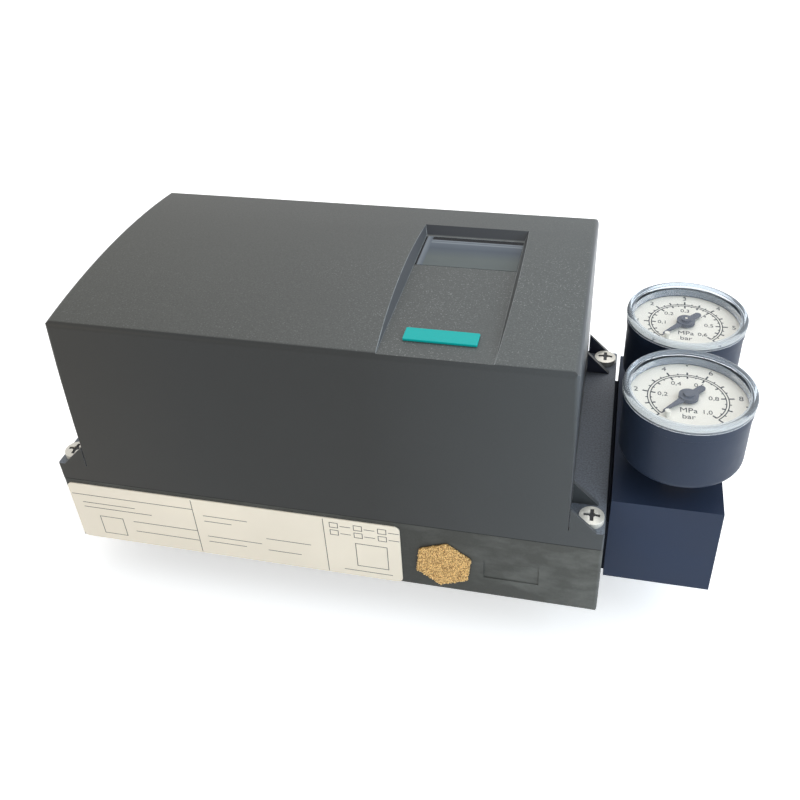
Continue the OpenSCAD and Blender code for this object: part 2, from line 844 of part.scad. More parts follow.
module cover_screws() color("silver") at_corners(screw_x, screw_y) {
    translate([0, 0, flange_z]) pan_head(screw_head_d / 2, screw_head_h);
    translate([0, 0, base_h - screw_depth])
        cylinder(d = screw_d, h = screw_depth + flange_t + screw_head_h / 4);
}

module name_label() color("#d8cfbd")
    on_front(label_x0 + label_l / 2, base_h / 2 - label_drop)
        rounded_plate(label_l, label_h, label_t, label_r);

module silencer() color("#c4a462") on_front(silencer_x, silencer_z) {
    rotate([0, 0, silencer_turn]) hex(silencer_af, silencer_h);
    translate([0, 0, over - base_wall - silencer_boss_l])
        cylinder(r = silencer_r, h = base_wall + silencer_boss_l - over + silencer_h / 2);
}

// Rear mounting and feedback shaft train

module rear_inserts() color("#b08d4c") at_corners(rear_spacing_x / 2, rear_spacing_y / 2)
    ring(insert_body_r, insert_r, insert_l - seat);

module bearing_bush() color("#a9823f") translate([0, 0, bush_z]) difference() {
    union() {
        cylinder(r = bush_r, h = boss_h - bush_z);
        translate([0, 0, boss_h - bush_z]) cylinder(r = bush_flange_r, h = bush_flange_t);
    }
    translate([0, 0, -over]) cylinder(r = shaft_r + run_fit, h = boss_h + 2 * over);
}

module shaft_seal() color("#202020") translate([0, 0, seal_z]) ring(bush_r, shaft_r + seal_play, seal_h);

// Turned shaft with an end chamfer, a relief groove, a ring groove and a neck for the friction wheel
module feedback_shaft() color("#c9ccd0") rotate_extrude()
    polygon([[0, -shaft_out], [shaft_r - shaft_chamfer, -shaft_out], [shaft_r, shaft_chamfer - shaft_out],
        [shaft_r, -relief_w], [groove_r, -relief_w], [groove_r, 0], [shaft_r, 0],
        [shaft_r, ring_z], [groove_r, ring_z], [groove_r, ring_z + ring_t], [shaft_r, ring_z + ring_t],
        [shaft_r, shoulder_z], [neck_r, shoulder_z], [neck_r, shaft_top], [0, shaft_top]]);

module shaft_ring() color("#8f9296") translate([0, 0, ring_z + seat]) difference() {
    ring(shaft_r + ring_w, groove_r + seat, ring_t - 2 * seat);
    translate([0, -0.8 * shaft_r, -over]) cube([2 * shaft_d, 1.6 * shaft_r, ring_t + 2 * over]);
}

module shaft_gear() color("#e6e2d6") translate([0, 0, gear_z]) difference() {
    union() {
        linear_extrude(height = gear_t) polygon(gear_outline(gear_teeth, gear_module, tooth_play, 180));
        cylinder(r = hub_r, h = hub_h);
    }
    translate([0, 0, -over]) cylinder(r = shaft_r + seat, h = hub_h + 2 * over);
    for (a = [30 : 60 : 330]) rotate([0, 0, a]) translate([(hub_r + gear_r) / 2, 0, -over])
        cylinder(r = (gear_r - hub_r) / 4, h = gear_t + 2 * over);
}

module friction_wheel() color("#d8b12c") translate([0, 0, wheel_z]) difference() {
    cylinder(r = wheel_r, h = wheel_t);
    translate([0, 0, -over]) cylinder(r = neck_r + run_fit, h = wheel_t + 2 * over);
    for (n = [0 : wheel_notches - 1]) rotate([0, 0, n * 360 / wheel_notches])
        translate([wheel_r + notch_out, 0, -over]) cylinder(r = notch_r, h = wheel_t + 2 * over);
}

module potentiometer() color("#2a4a78") translate([-mesh_x, 0, pot_z]) difference() {
    cylinder(d = pot_d, h = carrier_z - pot_z);
    translate([0, 0, -over]) cylinder(r = pinion_shaft_r + run_fit, h = pot_bore + over);
}

module pot_pinion() color("#efece2") translate([-mesh_x, 0, gear_z - pinion_over]) {
    phase = pinion_teeth % 2 == 0 ? 180 / pinion_teeth : 180;
    linear_extrude(height = gear_t + 2 * pinion_over)
        polygon(gear_outline(pinion_teeth, gear_module, tooth_play, phase));
    cylinder(r = pinion_shaft_r, h = pot_z - gear_z + pot_bore);
}

module ratio_selector() color("#e9e6da") translate([-mesh_x, selector_y, carrier_z]) {
    knob_z = board_top - carrier_z + selector_lift;
    cylinder(r = selector_shaft_r, h = knob_z + over);
    translate([0, 0, knob_z]) cylinder(r = selector_r, h = selector_h);
    translate([0, -selector_bar[1] / 2, knob_z + selector_h - bar_sink]) cube(selector_bar);
}

// Pneumatics

module pneumatic_block() color("#3a3c40") difference() {
    union() {
        box([pneu_x, -pneu_w / 2, base_floor], [inner_x, pneu_w / 2, pneu_top]);
        for (j = [-1, 1]) translate([right_post_x, j * right_post_y, base_floor])
            cylinder(r = pneu_post_r, h = carrier_z - base_floor);
    }
    for (j = [-1, 1]) translate([right_post_x, j * right_post_y, carrier_z - fixing_depth])
        cylinder(r = fixing_r + seat, h = fixing_depth + over);
    for (y = gauge_ys) translate([inner_x - pneu_l / 2, y, port_z]) along_x(air_r, pneu_l);
    for (z = block_screw_zs) translate([inner_x - block_screw_hole, block_y, z])
        along_x(block_screw_r + seat, block_screw_hole + over);
}

module pilot_valves() color("#2f3a3a") for (j = [-1, 1])
    translate([pneu_x + valve_inset, j * valve_y - valve_w / 2, pneu_top]) difference() {
        cube([valve_l, valve_w, valve_h]);
        translate([valve_rim, valve_rim, valve_h - valve_dish])
            cube([valve_l - 2 * valve_rim, valve_w - 2 * valve_rim, valve_dish + over]);
    }

// Electronics

module fixing_holes(r) {
    at_fixings(0) cylinder(r = r, h = board_top + over);
}

module shaft_opening() {
    cylinder(r = shaft_r + shaft_room, h = board_top + over);
}

module board_carrier() color("#8a8d8c") difference() {
    box([-carrier_half_l, -carrier_half_w, carrier_z], [carrier_half_l, carrier_half_w, board_z]);
    fixing_holes(fixing_r + hole_play);
    shaft_opening();
    translate([-mesh_x, selector_y, 0]) cylinder(r = selector_shaft_r + run_fit, h = board_top + over);
}

module main_board() color("#2f6b45") difference() {
    board = [carrier_half_l - board_inset, carrier_half_w - board_inset];
    box([-board[0], -board[1], board_z], [board[0], board[1], board_top]);
    fixing_holes(fixing_r + hole_play);
    shaft_opening();
    translate([-mesh_x, selector_y, 0]) cylinder(r = selector_shaft_r + hole_play, h = board_top + over);
}

module carrier_screws() color("silver") at_fixings(board_top) {
    shank = board_top - carrier_z + fixing_depth - fixing_tip;
    pan_head(fixing_head_r, fixing_head_h);
    translate([0, 0, -shank]) cylinder(r = fixing_r, h = shank + fixing_head_h / 4);
}

module display_tower() color("#3c3f41") difference() {
    in_l = tower_l / 2 - tower_wall;
    rib_l = in_l - display_rib;
    in_y = [tower_y0 + tower_wall, tower_y1 - tower_wall];
    box([recess_x - tower_l / 2, tower_y0, board_top], [recess_x + tower_l / 2, tower_y1, tower_z]);
    box([recess_x - in_l, in_y[0], display_board_z], [recess_x + in_l, in_y[1], tower_z - tower_wall]);
    box([recess_x - rib_l, in_y[0], board_top - over], [recess_x + rib_l, in_y[1], display_board_z + over]);
    window_hole(lcd_l - 2 * lcd_frame, lcd_w - 2 * lcd_frame, tower_z - 2 * tower_wall, tower_z + over);
    for (n = [-1 : 1]) translate([recess_x + n * button_pitch, button_y, tower_z - 2 * tower_wall])
        cylinder(r = button_r + run_fit, h = 3 * tower_wall);
}

module display_board() color("#2f6b45") {
    room = tower_wall + display_play;
    box([recess_x - tower_l / 2 + room, tower_y0 + room, display_board_z],
        [recess_x + tower_l / 2 - room, tower_y1 - room, display_board_z + board_t]);
}

module lcd_display() color("#9fb08a")
    window_hole(lcd_l, lcd_w, display_board_z + board_t, tower_z - tower_wall);

module button_switches() color("#26282a") for (n = [-1 : 1])
    translate([recess_x + n * button_pitch, button_y, display_board_z + board_t])
        translate([-switch_w / 2, -switch_w / 2, 0]) cube([switch_w, switch_w, switch_h]);

module push_button(n) {
    translate([recess_x + n * button_pitch, button_y, lip_z]) {
        cylinder(r = button_lip_r, h = button_lip);
        cylinder(r = button_r, h = button_top - lip_z);
    }
}

module mode_button() color("#d9d6cc") push_button(-1);
module minus_button() color("#d9d6cc") push_button(0);
module plus_button() color("#d9d6cc") push_button(1);

module at_terminals() {
    for (n = [0 : terminals - 1])
        translate([terminal_x + terminal_l / 2, (n - (terminals - 1) / 2) * terminal_pitch, board_top])
            children();
}

module terminal_block() color("#5f7f74") difference() {
    box([terminal_x, -terminal_w / 2, board_top], [terminal_x + terminal_l, terminal_w / 2, terminal_top]);
    box([terminal_x - over, -terminal_w / 2 - over, terminal_top - terminal_step_h],
        [terminal_x + terminal_step_l, terminal_w / 2 + over, terminal_top + over]);
    at_terminals() {
        translate([0, 0, terminal_screw_z])
            cylinder(r = terminal_screw_r + seat, h = terminal_screw_h + 2 * over);
        translate([-terminal_l / 2 - over, -terminal_mouth[1] / 2, terminal_mouth_z])
            cube(terminal_mouth + [over, 0, 0]);
    }
}

module terminal_screws() color("silver") at_terminals() translate([0, 0, terminal_screw_z]) difference() {
    cylinder(r = terminal_screw_r, h = terminal_screw_h);
    translate([-terminal_screw_r - over, -terminal_slot_w / 2, terminal_screw_h - terminal_slot_depth])
        cube([2 * (terminal_screw_r + over), terminal_slot_w, terminal_slot_depth + over]);
}

module earth_screw() color("silver") translate([earth_x, earth_y, earth_z]) {
    shank = earth_depth - fixing_tip;
    pan_head(earth_head_r, earth_head_h);
    translate([0, 0, -shank]) cylinder(r = fixing_r, h = shank + earth_head_h / 4);
}

// Cable entry

module gland_body() color("#2b2d2f") on_left_end(gland_y) difference() {
    union() {
        rotate([0, 0, 30]) hex(gland_af, gland_hex_h);
        translate([0, 0, -end_wall]) cylinder(r = gland_r, h = end_wall + over);
        cylinder(r = gland_neck_r, h = gland_hex_h + gland_neck_h);
    }
    translate([0, 0, -end_wall - over])
        cylinder(r = cable_r + gland_wall, h = end_wall + gland_hex_h + gland_neck_h + 2 * over);
}

module gland_nut() color("#2b2d2f") on_left_end(gland_y) translate([0, 0, gland_nut_z]) difference() {
    blank_r = gland_nut_r + gland_wall;
    intersection() {
        rotate([0, 0, 30]) hex(2 * gland_nut_r, gland_nut_h);
        rotate_extrude() polygon([[0, 0], [blank_r, 0], [blank_r, gland_nut_h - gland_nose_h],
            [gland_nose_r, gland_nut_h], [0, gland_nut_h]]);
    }
    translate([0, 0, -over]) cylinder(r = gland_neck_r + seat, h = gland_neck_h + gland_nut_room + over);
    cylinder(r = gland_mouth_r, h = gland_nut_h + over);
}

module gland_seal() color("#171717") on_left_end(gland_y) translate([0, 0, gland_seal_z])
    ring(cable_r + gland_wall - seat, cable_r, gland_hex_h + gland_neck_h - gland_seal_z);

module blanking_plug() color("#2b2d2f") on_left_end(plug_y) difference() {
    union() {
        cylinder(r = plug_r, h = plug_h);
        translate([0, 0, -end_wall]) cylinder(r = gland_r, h = end_wall + over);
    }
    translate([-0.7 * plug_r, -plug_slot_w / 2, plug_h - plug_slot_depth])
        cube([1.4 * plug_r, plug_slot_w, plug_slot_depth + over]);
}

// Gauge block

module block_gasket() color("#1b1b1b") difference() {
    pad_half_w = block_w / 2 - pad_inset;
    box([half_l, block_y - pad_half_w, block_z + pad_inset],
        [block_x0, block_y + pad_half_w, base_h - foot_r]);
    for (y = gauge_ys) translate([half_l - over, y, port_z]) along_x(air_r, block_gasket_t + 2 * over);
    for (z = block_screw_zs)
        translate([half_l - over, block_y, z]) along_x(block_screw_r + hole_play, block_gasket_t + 2 * over);
}

module gauge_block() color("#39414f") difference() {
    box([block_x0, block_y - block_w / 2, block_z], [block_x1, block_y + block_w / 2, block_top]);
    for (y = gauge_ys) {
        on_block_face(y, port_z) translate([0, 0, -port_depth]) cylinder(r = port_r, h = port_depth + over);
        on_block_face(y, port_z) translate([0, 0, -block_l - over]) cylinder(r = air_r, h = block_l);
        translate([gauge_x, y, port_z]) cylinder(r = air_r, h = block_h);
        translate([gauge_x, y, block_top - stem_depth]) cylinder(r = stem_r + seat, h = stem_depth + over);
    }
    for (z = block_screw_zs) on_block_face(block_y, z) {
        translate([0, 0, -block_l - over]) cylinder(r = block_screw_r + hole_play, h = block_l + 2 * over);
        translate([0, 0, -block_screw_head_h - block_screw_sink])
            cylinder(r = block_screw_head_r + hole_play, h = block_screw_head_h + block_screw_sink + over);
    }
}

module gauge_block_screws() color("silver") for (z = block_screw_zs) on_block_face(block_y, z) difference() {
    shank = block_l + block_gasket_t + end_wall + block_screw_bite;
    union() {
        translate([0, 0, -block_screw_head_h - block_screw_sink])
            cylinder(r = block_screw_head_r, h = block_screw_head_h);
        translate([0, 0, -shank]) cylinder(r = block_screw_r, h = shank - block_screw_head_h);
    }
    translate([0, 0, -block_key_depth]) hex(block_screw_key, block_key_depth + over);
}

// Pressure gauges; local origin on the gauge axis at the back of the case

module at_gauge(i) {
    translate([gauge_x, gauge_ys[i], case_z]) children();
}

module gauge_stem(i) color("#b3924f") at_gauge(i) difference() {
    foot_x = tube_r + tube_t + tube_foot_out;
    union() {
        translate([0, 0, stem_end - stem_gap - stem_depth]) cylinder(r = stem_r, h = stem_gap + stem_depth);
        translate([0, 0, -stem_gap]) hex(stem_af, stem_gap);
        cylinder(r = stem_neck_r, h = movement_z);
        box([0, -tube_foot_w, case_floor], [foot_x, 0, tube_z]);
        box([tube_r - tube_foot_in, -tube_foot_w, case_floor], [foot_x, 0, tube_z + tube_h]);
    }
    translate([0, 0, -stem_gap - stem_depth])
        cylinder(r = air_r, h = stem_gap + stem_depth + tube_z - case_floor);
}

module gauge_case(i) color("#343a46") at_gauge(i) rotate_extrude() polygon(concat(
    [[stem_neck_r + seat, 0]],
    [for (a = [-90 : 15 : 0]) [case_r - case_edge_r, case_edge_r] + case_edge_r * [cos(a), sin(a)]],
    [[case_r, case_h - lip_h], [lip_r, case_h - lip_h], [lip_r, case_h], [case_inner_r, case_h],
        [case_inner_r, dial_top - dial_t], [ledge_r, dial_top - dial_t], [ledge_r, case_floor],
        [stem_neck_r + seat, case_floor]]));

module gauge_tube(i) color("#b7995a") at_gauge(i) translate([0, 0, tube_z])
    rotate_extrude(angle = tube_sweep) translate([tube_r, 0]) square([tube_t, tube_h]);

module gauge_movement(i) color("#b79a5c") at_gauge(i) translate([0, 0, movement_z]) difference() {
    union() {
        for (z = [0, plate_t + plate_gap]) translate([0, 0, z]) cylinder(r = plate_r, h = plate_t);
        for (a = [-60, 60]) rotate([0, 0, a]) translate([plate_r - pillar_inset, 0, 0])
            cylinder(r = pillar_r, h = 2 * plate_t + plate_gap);
    }
    for (x = [0, pivot_x]) translate([x, 0, -over])
        cylinder(r = arbor_r + run_fit, h = 2 * plate_t + plate_gap + 2 * over);
}

module gauge_sector(i) color("#c0a266") at_gauge(i) translate([pivot_x, 0, 0]) {
    translate([0, 0, sector_z]) linear_extrude(height = sector_t)
        polygon(sector_outline(sector_teeth, clock_module, clock_play, sector_first, sector_last));
    translate([0, 0, sector_z]) cylinder(r = sector_hub_r, h = sector_t);
    translate([0, 0, movement_z + arbor_end])
        cylinder(r = arbor_r, h = 2 * (plate_t - arbor_end) + plate_gap);
}

module gauge_dial(i) color("#e8e4d8") at_gauge(i) {
    translate([0, 0, dial_top - dial_t]) ring(dial_r, arbor_r + dial_hole, dial_t);
    translate(concat(polar(stop_reach, stop_angle), [dial_top - dial_t / 2]))
        cylinder(r = stop_pin_r, h = stop_pin_h);
}

module gauge_pointer(i) color("#4c5058") at_gauge(i) {
    tail_x = tail_w / 2 - pointer_tail;
    rotate([0, 0, pointer_zero]) translate([0, 0, pointer_z]) {
        linear_extrude(height = pointer_t) {
            polygon([[0, -needle_root / 2], [pointer_l, -needle_tip / 2],
                [pointer_l, needle_tip / 2], [0, needle_root / 2]]);
            translate([tail_x, -tail_w / 2]) square([-tail_x, tail_w]);
            translate([tail_x, 0]) circle(d = tail_w);
        }
        translate([0, 0, -hub_below]) cylinder(r = pointer_hub_r, h = pointer_hub_h);
        cylinder(r = pointer_cap_r, h = pointer_cap_h);
    }
    translate([0, 0, movement_z + arbor_end]) cylinder(r = arbor_r, h = pointer_z - movement_z);
    translate([0, 0, sector_z - pinion_over_z]) linear_extrude(height = sector_t + 2 * pinion_over_z)
        polygon(gear_outline(clock_teeth, clock_module, clock_play, 180 / clock_teeth));
}

// Clear cap with a raised rim round its window and a skirt inside the case
module gauge_lens(i) color([0.8, 0.84, 0.88, 0.35]) at_gauge(i) translate([0, 0, case_h]) rotate_extrude()
    polygon(concat(
        [[0, lens_top - lens_t], [skirt_r - skirt_w, lens_top - lens_t], [skirt_r - skirt_w, -skirt_h],
            [skirt_r, -skirt_h], [skirt_r, 0], [lens_r, 0]],
        [for (a = [0 : 30 : 90])
            [lens_r - lens_edge_r, lens_h - lens_edge_r] + lens_edge_r * [cos(a), sin(a)]],
        [[lens_r - lens_rim_w + lens_rim_h, lens_h], [lens_r - lens_rim_w, lens_top], [0, lens_top]]));

module front_gauge_stem() gauge_stem(0);
module front_gauge_case() gauge_case(0);
module front_gauge_tube() gauge_tube(0);
module front_gauge_movement() gauge_movement(0);
module front_gauge_sector() gauge_sector(0);
module front_gauge_dial() gauge_dial(0);
module front_gauge_pointer() gauge_pointer(0);
module front_gauge_lens() gauge_lens(0);
module rear_gauge_stem() gauge_stem(1);
module rear_gauge_case() gauge_case(1);
module rear_gauge_tube() gauge_tube(1);
module rear_gauge_movement() gauge_movement(1);
module rear_gauge_sector() gauge_sector(1);
module rear_gauge_dial() gauge_dial(1);
module rear_gauge_pointer() gauge_pointer(1);
module rear_gauge_lens() gauge_lens(1);

base_housing();
cover();
cover_gasket();
window_pane();
badge_plate();
cover_screws();
name_label();
silencer();
rear_inserts();
bearing_bush();
shaft_seal();
feedback_shaft();
shaft_ring();
shaft_gear();
friction_wheel();
potentiometer();
pot_pinion();
ratio_selector();
pneumatic_block();
pilot_valves();
board_carrier();
main_board();
carrier_screws();
display_tower();
display_board();
lcd_display();
button_switches();
mode_button();
minus_button();
plus_button();
terminal_block();
terminal_screws();
earth_screw();
gland_body();
gland_nut();
gland_seal();
blanking_plug();
block_gasket();
gauge_block();
gauge_block_screws();
front_gauge_stem();
front_gauge_case();
front_gauge_tube();
front_gauge_movement();
front_gauge_sector();
front_gauge_dial();
front_gauge_pointer();
front_gauge_lens();
rear_gauge_stem();
rear_gauge_case();
rear_gauge_tube();
rear_gauge_movement();
rear_gauge_sector();
rear_gauge_dial();
rear_gauge_pointer();
rear_gauge_lens();
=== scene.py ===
"""Looks of the valve positioner: finishes of the CAD pieces, dial printing, label lines and bronze grains."""
import json
import math
import random

import bmesh
import bpy
from mathutils import Matrix, Vector


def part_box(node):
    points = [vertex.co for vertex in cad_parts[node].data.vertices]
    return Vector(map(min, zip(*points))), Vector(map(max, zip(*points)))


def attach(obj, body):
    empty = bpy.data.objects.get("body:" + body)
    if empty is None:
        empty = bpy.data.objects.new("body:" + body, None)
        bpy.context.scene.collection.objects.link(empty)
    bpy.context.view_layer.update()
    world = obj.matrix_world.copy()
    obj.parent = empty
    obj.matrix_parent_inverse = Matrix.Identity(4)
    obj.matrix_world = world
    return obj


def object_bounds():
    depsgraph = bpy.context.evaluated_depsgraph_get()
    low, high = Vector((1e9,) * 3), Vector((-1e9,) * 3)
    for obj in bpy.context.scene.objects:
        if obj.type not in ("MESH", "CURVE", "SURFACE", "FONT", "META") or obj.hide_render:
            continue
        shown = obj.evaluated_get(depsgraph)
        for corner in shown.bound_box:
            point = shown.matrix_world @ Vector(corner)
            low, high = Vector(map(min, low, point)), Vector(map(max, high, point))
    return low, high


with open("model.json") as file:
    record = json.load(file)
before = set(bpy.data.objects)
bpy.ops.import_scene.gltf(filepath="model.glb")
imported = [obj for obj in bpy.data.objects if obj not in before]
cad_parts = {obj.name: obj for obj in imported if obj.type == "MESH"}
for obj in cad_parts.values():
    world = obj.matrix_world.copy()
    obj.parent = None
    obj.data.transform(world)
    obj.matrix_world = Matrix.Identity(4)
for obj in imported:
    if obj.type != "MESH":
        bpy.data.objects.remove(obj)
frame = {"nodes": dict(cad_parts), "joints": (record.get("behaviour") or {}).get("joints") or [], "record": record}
cad_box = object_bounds()
NODES = frame["nodes"]
MM = 0.001
HOUSING = "housing"
GAUGES = ("front", "rear")


# Camera, fitted to the photograph's 800 pixel frame

FRAME_PX = 800
FOCAL_PX = 905.44
CENTRE_PX = (406.59, 348.39)
SENSOR_MM = 36.0
CLIP_START = 10 * MM
CAMERA_POS_MM = (85.416, -243.114, 243.137)
CAMERA_RIGHT = (0.97384, 0.22239, -0.04644)
CAMERA_UP = (-0.09269, 0.57555, 0.81249)
CAMERA_BACK = (0.20742, -0.78694, 0.58112)


def add_camera():
    data = bpy.data.cameras.new("photo_camera")
    data.sensor_width = SENSOR_MM
    data.lens = FOCAL_PX * SENSOR_MM / FRAME_PX
    data.shift_x = (FRAME_PX / 2 - CENTRE_PX[0]) / FRAME_PX
    data.shift_y = (CENTRE_PX[1] - FRAME_PX / 2) / FRAME_PX
    data.clip_start = CLIP_START
    camera = bpy.data.objects.new("photo_camera", data)
    turn = Matrix((CAMERA_RIGHT, CAMERA_UP, CAMERA_BACK)).transposed().to_4x4()
    camera.matrix_world = Matrix.Translation(Vector(CAMERA_POS_MM) * MM) @ turn
    bpy.context.scene.collection.objects.link(camera)
    bpy.context.scene.camera = camera


# Small helpers for shader nodes

WHITE = (1.0, 1.0, 1.0, 1.0)
NOISE_LOW = 0.3
NOISE_HIGH = 0.7

# Sockets of the Mix node in its colour mode
MIX_FACTOR = 0
MIX_A = 6
MIX_B = 7
MIX_RESULT = 2


def srgb(r, g, b):
    """Linear colour of an 8-bit screen colour."""
    def channel(value):
        v = value / 255
        return v / 12.92 if v <= 0.04045 else ((v + 0.055) / 1.055) ** 2.4
    return (channel(r), channel(g), channel(b), 1.0)


def scaled(colour, factor):
    return tuple(min(1.0, c * factor) for c in colour[:3]) + (1.0,)


def grey(level):
    return (level, level, level, 1.0)


class Finish:
    """One node material with its Principled shader and a few ready-made parts."""

    def __init__(self, name, roughness=0.5, metallic=0.0, specular=0.5):
        self.material = bpy.data.materials.new(name)
        self.material.use_nodes = True
        self.tree = self.material.node_tree
        self.shader = self.tree.nodes["Principled BSDF"]
        self.set(self.shader, {"Roughness": roughness, "Metallic": metallic, "Specular IOR Level": specular})
        self.coords = self.tree.nodes.new("ShaderNodeTexCoord").outputs["Object"]

    @staticmethod
    def set(node, values):
        for key, value in values.items():
            node.inputs[key].default_value = value

    def link(self, start, end):
        self.tree.links.new(start, end)

    def noise(self, size_mm, detail=2.0, rough=0.5, stretch=None):
        node = self.tree.nodes.new("ShaderNodeTexNoise")
        self.set(node, {"Scale": 1 / (size_mm * MM), "Detail": detail, "Roughness": rough})
        source = self.coords
        if stretch:
            mapping = self.tree.nodes.new("ShaderNodeMapping")
            mapping.inputs["Scale"].default_value = stretch
            self.link(self.coords, mapping.inputs["Vector"])
            source = mapping.outputs["Vector"]
        self.link(source, node.inputs["Vector"])
        return node.outputs["Fac"]

    def ramp(self, fac, stops):
        node = self.tree.nodes.new("ShaderNodeValToRGB")
        ramp = node.color_ramp
        ramp.elements[0].position, ramp.elements[0].color = stops[0]
        ramp.elements[1].position, ramp.elements[1].color = stops[-1]
        for position, colour in stops[1:-1]:
            ramp.elements.new(position).color = colour
        self.link(fac, node.inputs["Fac"])
        return node.outputs["Color"]

    def shades(self, fac, colour, low, high, start=NOISE_LOW, end=NOISE_HIGH):
        """A colour that goes from its low to its high multiple."""
        return self.ramp(fac, [(start, scaled(colour, low)), (end, scaled(colour, high))])

    def greys(self, fac, low, high):
        """Grey levels, to multiply into a colour."""
        return self.ramp(fac, [(NOISE_LOW, grey(low)), (NOISE_HIGH, grey(high))])

    def spread(self, fac, low, high, start=NOISE_LOW, end=NOISE_HIGH):
        node = self.tree.nodes.new("ShaderNodeMapRange")
        self.set(node, {"From Min": start, "From Max": end, "To Min": low, "To Max": high})
        self.link(fac, node.inputs["Value"])
        return node.outputs["Result"]

    def mix(self, fac, a, b, blend="MIX"):
        node = self.tree.nodes.new("ShaderNodeMix")
        node.data_type = "RGBA"
        node.blend_type = blend
        for value, socket in ((fac, MIX_FACTOR), (a, MIX_A), (b, MIX_B)):
            if hasattr(value, "is_output"):
                self.link(value, node.inputs[socket])
            else:
                node.inputs[socket].default_value = value
        return node.outputs[MIX_RESULT]

    def tinted(self, colour, tint):
        return self.mix(1.0, colour, tint, "MULTIPLY")

    def times(self, a, b):
        node = self.tree.nodes.new("ShaderNodeMath")
        node.operation = "MULTIPLY"
        self.link(a, node.inputs[0])
        self.link(b, node.inputs[1])
        return node.outputs[0]

    def split(self, vector, axis):
        parts = self.tree.nodes.new("ShaderNodeSeparateXYZ")
        self.link(vector, parts.inputs["Vector"])
        return parts.outputs[axis]

    def normal(self, axis):
        """The face's normal along one axis, from -1 to 1."""
        return self.split(self.tree.nodes.new("ShaderNodeNewGeometry").outputs["Normal"], axis)

    def looks(self, axis, start, end):
        """0 to 1 as the face's normal along one axis goes from start to end."""
        return self.spread(self.normal(axis), 0.0, 1.0, start, end)

    def facing_sides(self):
        """How far a face looks to the front or the back, from 0 to 1."""
        node = self.tree.nodes.new("ShaderNodeMath")
        node.operation = "ABSOLUTE"
        self.link(self.normal("Y"), node.inputs[0])
        return node.outputs[0]

    def place(self, axis):
        """Coordinate of the surface point along one axis, in metres."""
        return self.split(self.coords, axis)

    def box_place(self):
        """Place of the surface point in its piece's box, each axis from 0 to 1."""
        return self.tree.nodes.new("ShaderNodeTexCoord").outputs["Generated"]

    def share(self, axis):
        """Place of the surface point in its piece's box along one axis, from 0 to 1."""
        return self.split(self.box_place(), axis)

    def parting_line(self):
        """1 in the thin shadow line where the cover meets the base."""
        return self.spread(self.place("Z"), 1.0, 0.0, PARTING_Z + PARTING_LINE / 2, PARTING_Z + PARTING_LINE)

    def drive(self, socket, name):
        """Link a texture to one of the shader's inputs."""
        self.link(socket, self.shader.inputs[name])

    def colour(self, socket):
        self.drive(socket, "Base Color")

    def roughness(self, socket):
        self.drive(socket, "Roughness")

    def bump(self, height, depth_mm):
        node = self.tree.nodes.new("ShaderNodeBump")
        self.set(node, {"Strength": 1.0, "Distance": depth_mm * MM})
        self.link(height, node.inputs["Height"])
        before = self.shader.inputs["Normal"].links
        if before:
            self.link(before[0].from_socket, node.inputs["Normal"])
        self.drive(node.outputs["Normal"], "Normal")


# Finish of the cover: normals that count as top, end, ledge and far wall, grain sizes, and tints that paint light,
# shade, sheen and glints on it

PARTING_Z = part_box("cover")[0].z
PARTING_LINE = 0.35 * MM
PARTING_SHADE = 0.1
LEDGE_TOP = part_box("cover_screws")[1].z
TOP_FACING = (0.86, 0.95)
LEDGE_FACING = (0.8, 0.95)
END_FACING = (0.5, 0.9)
FAR_FACING = (-0.5, -0.8)
FAR_HALF = (0.5, 0.6)
TOP_GRAIN_MM = 0.5
TOP_GRAIN_DEPTH_MM = 0.035
GLINT_MM = 0.42
GLINT_GAIN = 3.0
GLINT_PATCH_MM = 38.0
WALL_GRAIN_MM = 0.4
STIPPLE_MM = 0.55
STIPPLE_RANGE = (0.34, 0.66)
SLOW_MM = 60.0
TOP_SPECULAR = 0.42
WALL_SPECULAR = 0.12
TOP_ROUGHNESS = 0.5
WALL_ROUGHNESS = 0.38
# Painted light on the top of the cover: warm at the left, bluish at the right
TOP_LIGHT_LEFT = (0.87, 0.84, 0.78, 1.0)
TOP_LIGHT_MID = (0.96, 0.95, 0.93, 1.0)
TOP_LIGHT_RIGHT = (1.08, 1.14, 1.17, 1.0)
# Painted light on the upright walls: darker overall as painted shade, warm at the left, a bluish painted sheen at
# the right
WALL_LIGHT_LEFT = (0.68, 0.64, 0.57, 1.0)
WALL_LIGHT_MID = (0.57, 0.57, 0.55, 1.0)
WALL_LIGHT_RIGHT = (0.94, 0.99, 1.0, 1.0)
END_SHEEN = 0.28
# Heights over which the painted edge highlight fades in
HIGHLIGHT_FROM = 75 * MM
HIGHLIGHT_TO = 85 * MM


def speckled_top(f, grain, top):
    """Top of the cover with painted light: browner at the left and bluer at the right as painted warm and bluish
    light, with bright painted glints in clusters.
    """
    shade = f.shades(grain, top, 0.86, 1.14, *STIPPLE_RANGE)
    shade = f.tinted(shade, f.ramp(f.share("X"), [(0.1, TOP_LIGHT_LEFT), (0.5, TOP_LIGHT_MID), (0.9, TOP_LIGHT_RIGHT)]))
    # Painted glints: bright specks of the grain in clusters, densest towards the right and the front
    glint_patches = f.spread(f.noise(GLINT_PATCH_MM, detail=1.0), 0.3, 1.0, 0.35, 0.6)
    glint_patches = f.times(glint_patches, f.spread(f.share("X"), 0.35, 1.5, 0.3, 0.9))
    glint_patches = f.times(glint_patches, f.spread(f.share("Y"), 1.3, 0.4, 0.1, 0.8))
    glints = f.spread(f.noise(GLINT_MM, detail=0.0), 0.0, 0.55, 0.67, 0.75)
    return f.mix(f.times(glints, glint_patches), shade, scaled(top, GLINT_GAIN))


